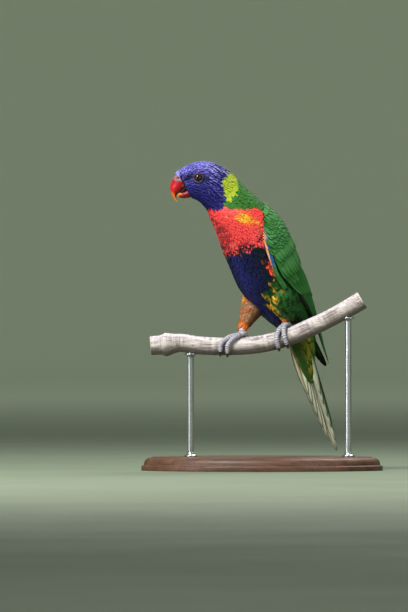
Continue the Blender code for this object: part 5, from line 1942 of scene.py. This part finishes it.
@dataclass
class Eyes:
    """Eyeballs and the bare rings round them."""

    ring_radius: float = 3.95
    ring_thickness: float = 0.44
    ring_sink: float = 0.45
    tilt: float = 8.0

    def build(self, groups: Groups) -> None:
        """Build both eyes and their rings."""
        wet = EyeFinish().make()
        bare = HornFinish("eye_ring_skin", 0.6, 0.05, tone(40, 34, 50), 0.5, 2200.0,
                          0.00015).make(groups)
        for side in Side:
            way = -side.value
            place_piece(f"eye_{side.word}_ball", self.ball(self.spot(way, EYE_SINK), way), wet, "eye",
                        f"eye_{side.word}")
            place_piece(f"eye_{side.word}_ring", self.ring(self.spot(way, self.ring_sink), way), bare,
                        "foot_skin")

    @staticmethod
    def spot(way: int, sink: float) -> Array:
        """Point this deep below the head's surface at an eye."""
        return np.array([EYE_PLACE[0], TRUNK[0][1] + way * (TRUNK[EYE_ROW][5] - sink), EYE_PLACE[1]])

    @staticmethod
    def ball(centre: Array, way: int) -> Shell:
        """Eyeball with a slightly raised cornea about its axis."""
        axis = unit(np.array([-0.10, way, 0.03]))
        side = unit(np.cross(axis, np.array([0.0, 0.0, 1.0])))
        polar, turn = np.linspace(0.004, math.pi - 0.004, 60)[:, None], circle(72)[None]
        cornea = 1 + 0.05 * np.exp(-(polar / 0.55) ** 2)
        shell = tube(globe(centre, (axis, side, np.cross(axis, side)), polar, turn, EYE_RADIUS * cornea))
        shell.values["radial"] = (np.sin(np.clip(polar, 0, math.pi / 2)) + 0 * turn).ravel()
        return shell

    def ring(self, centre: Array, way: int) -> Shell:
        """Closed ring of bare skin with rows of tiny beads, leaning with the head."""
        turn, across = circle(120), circle(20)
        lean = math.radians(self.tilt)
        ahead = np.array([math.cos(lean), way * math.sin(lean), 0.0])
        up = np.array([0.0, 0.0, 1.0])
        out = np.cross(ahead, up)
        out = out * np.sign(out[1] * way)
        stretch = 1 + 0.05 * np.cos(2 * turn)
        radial = ahead * np.cos(turn)[:, None] + up * np.sin(turn)[:, None]
        beads = 0.07 * np.sin(turn * 34)[:, None] * np.cos(across * 2)[None]
        thick = self.ring_thickness * (1 + beads)
        points = (centre + radial[:, None] * ((self.ring_radius * stretch)[:, None]
                                              + thick * np.cos(across)[None] * 1.15)[..., None]
                  + out * (thick * np.sin(across)[None])[..., None])
        shell = hoop(points, points[0, 0] - points[0].mean(axis=0))
        inner = smoothstep(-0.2, -0.8, np.cos(across))[None]
        low = smoothstep(0.1, 0.9, -np.sin(turn) - 0.3 * np.cos(turn))[:, None]
        skin = blend(blend(tone(20, 18, 44), tone(78, 72, 100), low), tone(12, 9, 15), inner)
        shell.values["ground"] = skin.reshape(-1, 3)
        return shell


def perch_at(x: float) -> tuple[Array, Array, float]:
    """Centre, direction and radius of the perch at x."""
    places = [row[0] for row in PERCH]
    place = float(np.interp(x, places, range(len(places))))
    here, ahead, behind = smooth_rows(PERCH, np.array([place, place + 0.05, place - 0.05]))
    along = unit(np.array([ahead[0] - behind[0], 0.0, ahead[1] - behind[1]]))
    return np.array([here[0], PERCH_Y, here[1]]), along, float(here[2])


def wrap_point(x: float, turn: float, height: float) -> Array:
    """Point at a height above the perch's surface, at a turn round it."""
    centre, along, radius = perch_at(x)
    front = unit(np.cross(along, np.array([0.0, 0.0, 1.0])))
    top = np.cross(front, along)
    turn = math.radians(turn)
    return centre + (front * math.cos(turn) + top * math.sin(turn)) * (radius + height)


@dataclass
class Foot:
    """One foot: scaled shank, pad and toes, with its four claws."""

    side: Side
    toe_radius: float = 2.2
    toe_end_radius: float = 1.75
    tarsus_radius: float = 3.3
    pad_height: float = 2.8
    pad_length: float = 4.6
    pad_width: float = 4.4
    claw_radius: float = 1.6
    claw_tip_radius: float = 0.16
    scute: float = 2.0
    scute_height: float = 0.38

    def scaled(self, points: Array, radii: Array, steps: int) -> Shell:
        """Limb with overlapping plates along its upper side and small scales elsewhere."""
        sides = 30
        length = float(np.linalg.norm(np.diff(points, axis=0), axis=1).sum())
        turn = circle(sides)[None]
        along = np.linspace(0, length, steps)[:, None]
        plates = (along / self.scute + 0.12 * np.cos(turn * 2)) % 1.0
        relief = self.scute_height * (plates ** 1.5 - 0.5)
        pebbles = 0.07 * np.sin(along * 5.2 + turn * 3) * np.sin(turn * 9)
        rows, _ = sweep(points, radii, sides, steps, relief + pebbles)
        groove = smoothstep(0.75, 0.98, plates)
        shade = 0.85 * (1 - smoothstep(0.0, 0.35, plates)) + 0.5 * groove
        return tube(rows, blend(tone(164, 162, 174), tone(30, 28, 36), shade))

    def build(self, skin: bpy.types.Material, horn: bpy.types.Material) -> None:
        """Build the foot and its claws."""
        place, toes = FEET[self.side.word]
        rows = np.array(THIGHS[self.side.word])
        knee, ankle = smooth_rows(rows, np.array([3.5, 4.0]))[:, :3]
        shin = unit(ankle - knee)
        pad = wrap_point(place, 90.0, self.pad_height + GAP)
        shank = np.array([ankle - shin * 2.5, ankle + shin * 1.5, ankle * 0.5 + pad * 0.5,
                          ankle * 0.15 + pad * 0.85])
        shells = [self.scaled(shank, np.array([0.9, 1, 0.95, 0.95]) * self.tarsus_radius, 60)]
        top = unit(wrap_point(place, 90.0, 1.0) - wrap_point(place, 90.0, 0.0))
        shells.append(self.pad(pad, top))
        for rank, (drift, start, end, claw_turn) in enumerate(toes):
            first = wrap_point(place + 0.3 * rank, start, self.toe_radius + GAP)
            path = [pad * (0.9 - 0.06 * rank) + first * (0.1 + 0.06 * rank)]
            radii = [self.toe_radius * 0.9]
            for t in np.linspace(0, 1, 9):
                radius = self.toe_radius + (self.toe_end_radius - self.toe_radius) * t
                bulge = 0.25 * math.sin(math.pi * 2.5 * t) ** 2
                x = place + drift * (0.3 + 0.7 * math.sin(math.pi / 2 * min(1.35 * t, 1.0)))
                path.append(wrap_point(x, start + (end - start) * t, radius + bulge + GAP))
                radii.append(radius + bulge)
            radii[-1] *= 0.8
            shells.append(self.scaled(np.array(path), np.array(radii), 130))
            self.claw(rank + 1, np.array(path[-2:]), place + drift, end, claw_turn, horn)
        place_piece(f"foot_{self.side.word}_skin", Shell.joined(shells), skin, "foot_skin",
                    f"foot_{self.side.word}")

    def pad(self, centre: Array, top: Array) -> Shell:
        """Fleshy pad where the toes meet, with painted shade in the hollows between its pebbles."""
        side = unit(np.cross(top, np.array([0.0, 1.0, 0.0])))
        polar, turn = np.linspace(0.01, math.pi - 0.01, 30)[:, None], circle(40)[None]
        pebble = 1 + 0.03 * np.sin(polar * 22) * np.sin(turn * 18)
        axes = (top * self.pad_height, side * self.pad_length, np.cross(top, side) * self.pad_width)
        # Painted shade: the pad is darker in the hollows between its pebbles
        ground = blend(tone(150, 146, 156), tone(66, 62, 70), smoothstep(1.0, 0.97, pebble))
        return tube(globe(centre, axes, polar, turn, pebble), ground)

    def claw(self, rank: int, toe_end: Array, x: float, end: float, turn: float,
             horn: bpy.types.Material) -> None:
        """Curved claw from the end of a toe round the perch."""
        way = unit(toe_end[1] - toe_end[0])
        path = [toe_end[1] - way * 0.6, toe_end[1] + way * 0.8]
        radii = [1.35, 1.5]
        for t in np.linspace(0.14, 1, 8):
            radius = self.claw_radius + (self.claw_tip_radius - self.claw_radius) * t ** 1.15
            arch = 0.4 * (1 - 0.75 * t) * math.sin(math.pi * t)
            height = 1.7 + GAP + arch + (0.25 + GAP - 1.7) * t ** 2
            path.append(wrap_point(x, end + turn * (0.12 + 0.88 * t), height))
            radii.append(radius)
        rows, _ = sweep(np.array(path), np.array(radii), 24, 60)
        ground = blend(tone(30, 26, 30), tone(12, 10, 12), np.linspace(0, 1, 60)[:, None])
        place_piece(f"claw_{self.side.word}_{rank}_horn", tube(rows, ground + 0 * rows), horn, "claw",
                    f"claw_{self.side.word}_{rank}")


@dataclass
class Perch:
    """Cut length of branch with fine bark, small knots and sawn ends."""

    steps: int = 420
    sides: int = 96
    knots: tuple = ((-83.0, 60.0, 3.4, 0.5), (-40.0, 20.0, 2.4, 0.35), (48.0, 40.0, 2.6, 0.4),
                    (66.0, 130.0, 3.0, 0.4), (-5.0, 250.0, 3.0, 0.4), (72.0, 350.0, 2.2, 0.3))

    def build(self, groups: Groups) -> None:
        """Build the bark and both sawn ends."""
        points = np.array([(x, PERCH_Y, z) for x, z, _ in PERCH])
        radii = np.array([radius for _, _, radius in PERCH])
        turn = circle(self.sides)[None]
        x = np.linspace(points[0, 0], points[-1, 0], self.steps)[:, None]
        folds = ripple(x * 0.25, 12.0 * np.cos(turn), 31) * ripple(x * 0.1, 12.0 * np.sin(turn), 32)
        relief = -0.18 * np.abs(folds) + 0.06 * ripple(x * 1.6, 9.0 * np.cos(turn), 33)
        for place, side, size, height in self.knots:
            away = (turn - math.radians(side) + math.pi) % math.tau - math.pi
            bump = np.exp(-((x - place) / size) ** 2 - (away * 8.0 / size) ** 2)
            relief = relief + height * bump * (1 - 1.6 * np.exp(-((x - place) / size * 2) ** 2
                                                                - (away * 16.0 / size) ** 2))
        hole = 1 - smoothstep(0, 0.5, np.minimum(x - x[0], x[-1] - x))
        rows, outward = sweep(points, radii, self.sides, self.steps, relief - 0.6 * hole)
        shell = tube(rows)
        shell.values["facing"] = outward[..., 2].ravel()
        shell.values["relief"] = (relief / 0.3).ravel()
        mesh = shell.mesh("perch_bark")
        piece = place_piece("perch_bark", mesh, BarkFinish().make(groups), "bark", "perch")
        for k, end in ((1, 0), (2, -1)):
            wood = GrainFinish(f"sawn_wood_{k}", tone(214, 182, 138), tone(150, 112, 76), 0.8,
                               ring_centre=(PERCH_Y * MM, PERCH[end][1] * MM))
            piece.data.materials.append(wood.make(groups))
            cap = mesh.polygons[len(mesh.polygons) + k - 3]
            cap.material_index = k
            cap.use_smooth = False


@dataclass
class Stand:
    """Oval base with a moulded edge, rods and their collars."""

    length: float = 210.0
    depth: float = 150.0
    height: float = 12.0
    profile: tuple = ((3.0, 0.0), (0.6, 0.0), (0.0, 0.6), (0.0, 3.4), (0.5, 4.2), (1.8, 4.6),
                      (2.2, 5.2), (2.3, 6.2), (2.9, 8.2), (4.2, 9.8), (6.2, 10.9), (8.6, 11.2),
                      (9.2, 11.6), (10.0, 12.0), (14.0, 12.0))
    rods: tuple = (("stand_rod_left", -62.0), ("stand_rod_right", 75.0))

    def build(self, groups: Groups) -> None:
        """Build the base, dress the rods and add a collar at each end of them."""
        wood = GrainFinish("base_walnut", tone(98, 62, 40), tone(54, 32, 20), 0.55, 0.06)
        fine = smooth_rows(self.profile, np.linspace(0, len(self.profile) - 1, 60))
        shell = tube(lathe([(self.length / 2 - inset, self.depth / 2 - inset,
                             np.clip(height, 0, self.height)) for inset, height in fine], 160))
        mesh = shell.mesh("stand_base_wood")
        for polygon in list(mesh.polygons)[-2:]:
            polygon.use_smooth = False
        place_piece("stand_base_wood", mesh, wood.make(groups), "base_wood", "stand_base")
        steel = GrainFinish("steel_brushed", tone(196, 198, 202), tone(150, 152, 158), 0.3, metal=1.0,
                            stretch=(60.0, 60.0, 3200.0), fineness=3.0, contrast=0.7,
                            depth=0.00005).make(groups)
        collars = []
        for name, x in self.rods:
            rod = bpy.data.objects[name]
            for slot in rod.material_slots:
                slot.material = steel
            rod.data.shade_smooth()
            rod.data.set_sharp_from_angle(angle=math.radians(40))
            centre, _, radius = perch_at(x)
            collars.append(self.collar(x, self.height, 1.0))
            collars.append(self.collar(x, float(centre[2]) - radius - 0.2, -1.0))
        place_piece("stand_collars", Shell.joined(collars), steel, "rod_steel")

    @staticmethod
    def collar(x: float, height: float, way: float) -> Shell:
        """Turned collar round a rod, growing up or down from a height."""
        profile = ((2.75, 0.0), (5.4, 0.0), (5.6, 0.3), (5.6, 1.1), (5.2, 1.5), (4.2, 1.8),
                   (3.7, 2.4), (3.5, 3.2), (3.2, 3.5), (2.75, 3.5))
        rings = [(radius, radius, height + way * step) for radius, step in profile]
        return hoop(lathe(rings, 48, (x, PERCH_Y)), np.array([0.0, 0.0, -way]))


@dataclass
class Studio:
    """Pale stage, soft lights and the camera."""

    distance: float = 8.0
    view_x: float = -0.0505
    view_z: float = 0.143
    view_height: float = 0.5324
    sensor: float = 36.0
    aim: tuple = (-0.01, 0.0, 0.17)
    lamps: tuple = (
        ("key", (-0.6, -0.85, 1.3), 0.52, 42.0, (1.0, 0.97, 0.93)),
        ("fill", (-1.2, -0.9, 0.05), 0.45, 12.0, (0.93, 0.96, 1.0)),
        ("side", (1.1, -1.3, 0.5), 0.5, 7.0, (1.0, 0.98, 0.95)),
        ("rim", (0.4, 0.8, 1.2), 0.5, 11.0, (1.0, 1.0, 1.0)),
    )
    sky: tuple = (0.86, 0.92, 1.0)
    sky_strength: float = 0.48

    def build(self, groups: Groups) -> None:
        """Set up stage, camera, lights and world."""
        self.stage(groups)
        camera = bpy.data.cameras.new("camera")
        camera.sensor_fit = "VERTICAL"
        camera.sensor_height = self.sensor
        camera.lens = self.sensor * self.distance / self.view_height
        camera.clip_start = 0.05
        eye = add_object("camera", camera)
        eye.location = (self.view_x, -self.distance, self.view_z)
        eye.rotation_euler = (math.pi / 2, 0.0, 0.0)
        bpy.context.scene.camera = eye
        for lamp in self.lamps:
            self.light(*lamp)
        world = bpy.data.worlds.new("studio")
        world.use_nodes = True
        Graph(world.node_tree).fill(world.node_tree.nodes["Background"],
                                    {"Color": self.sky, "Strength": self.sky_strength})
        bpy.context.scene.world = world
        bpy.context.scene.view_settings.view_transform = "Standard"

    def light(self, name: str, place: tuple, size: float, power: float, colour: tuple) -> None:
        """Add a soft square light that looks at the bird."""
        lamp = bpy.data.lights.new(name, "AREA")
        lamp.size = size
        lamp.energy = power
        lamp.color = colour
        item = add_object(name, lamp)
        item.location = place
        way = Vector(self.aim) - Vector(place)
        item.rotation_euler = way.to_track_quat("-Z", "Y").to_euler()

    @staticmethod
    def stage(groups: Groups) -> None:
        """Floor that curves up into a backdrop all round."""
        bend = np.linspace(0, math.pi / 2, 14)
        radii = np.concatenate([[0.002, 1.5, 4.0, 7.0], 10.0 + 2.0 * np.sin(bend), [12.0]])
        heights = np.concatenate([[0, 0, 0, 0], 2.0 * (1 - np.cos(bend)), [14.0]])
        rows = lathe(list(zip(radii, radii, heights)), 96) / MM
        shell = Shell(rows.reshape(-1, 3), ring_quads(len(radii), 96), [np.arange(96)[::-1].copy()])
        mesh = shell.mesh("stage")
        mesh.materials.append(StageFinish().make(groups))
        add_object("stage", mesh)


def main() -> None:
    """Build every sub-assembly in order and note the sizes."""
    logging.basicConfig(level=logging.INFO, format="%(name)s: %(message)s")
    groups = Groups()
    markings = Markings()
    Studio().build(groups)
    Perch().build(groups)
    Stand().build(groups)
    BodySkin(markings).build(groups)
    BodyCoat(markings).build(groups)
    for side in Side:
        Wing(side, markings.colours).build(groups)
    Tail(markings).build(groups)
    Bill().build(groups)
    Eyes().build(groups)
    skin = HornFinish("foot_scales", 0.62, 0.05, tone(150, 148, 158), 0.3, 900.0, 0.0001).make(groups)
    horn = HornFinish("claw_horn", 0.28, 0.4, tone(44, 38, 42), 0.3, 600.0, 0.00005).make(groups)
    for side in Side:
        Foot(side).build(skin, horn)
    triangles = sum(len(item.data.loop_triangles) for item in bpy.data.objects
                    if item.type == "MESH" and not item.data.calc_loop_triangles())
    LOG.info("all meshes: %d triangles", triangles)


if __name__ == "__main__":
    main()
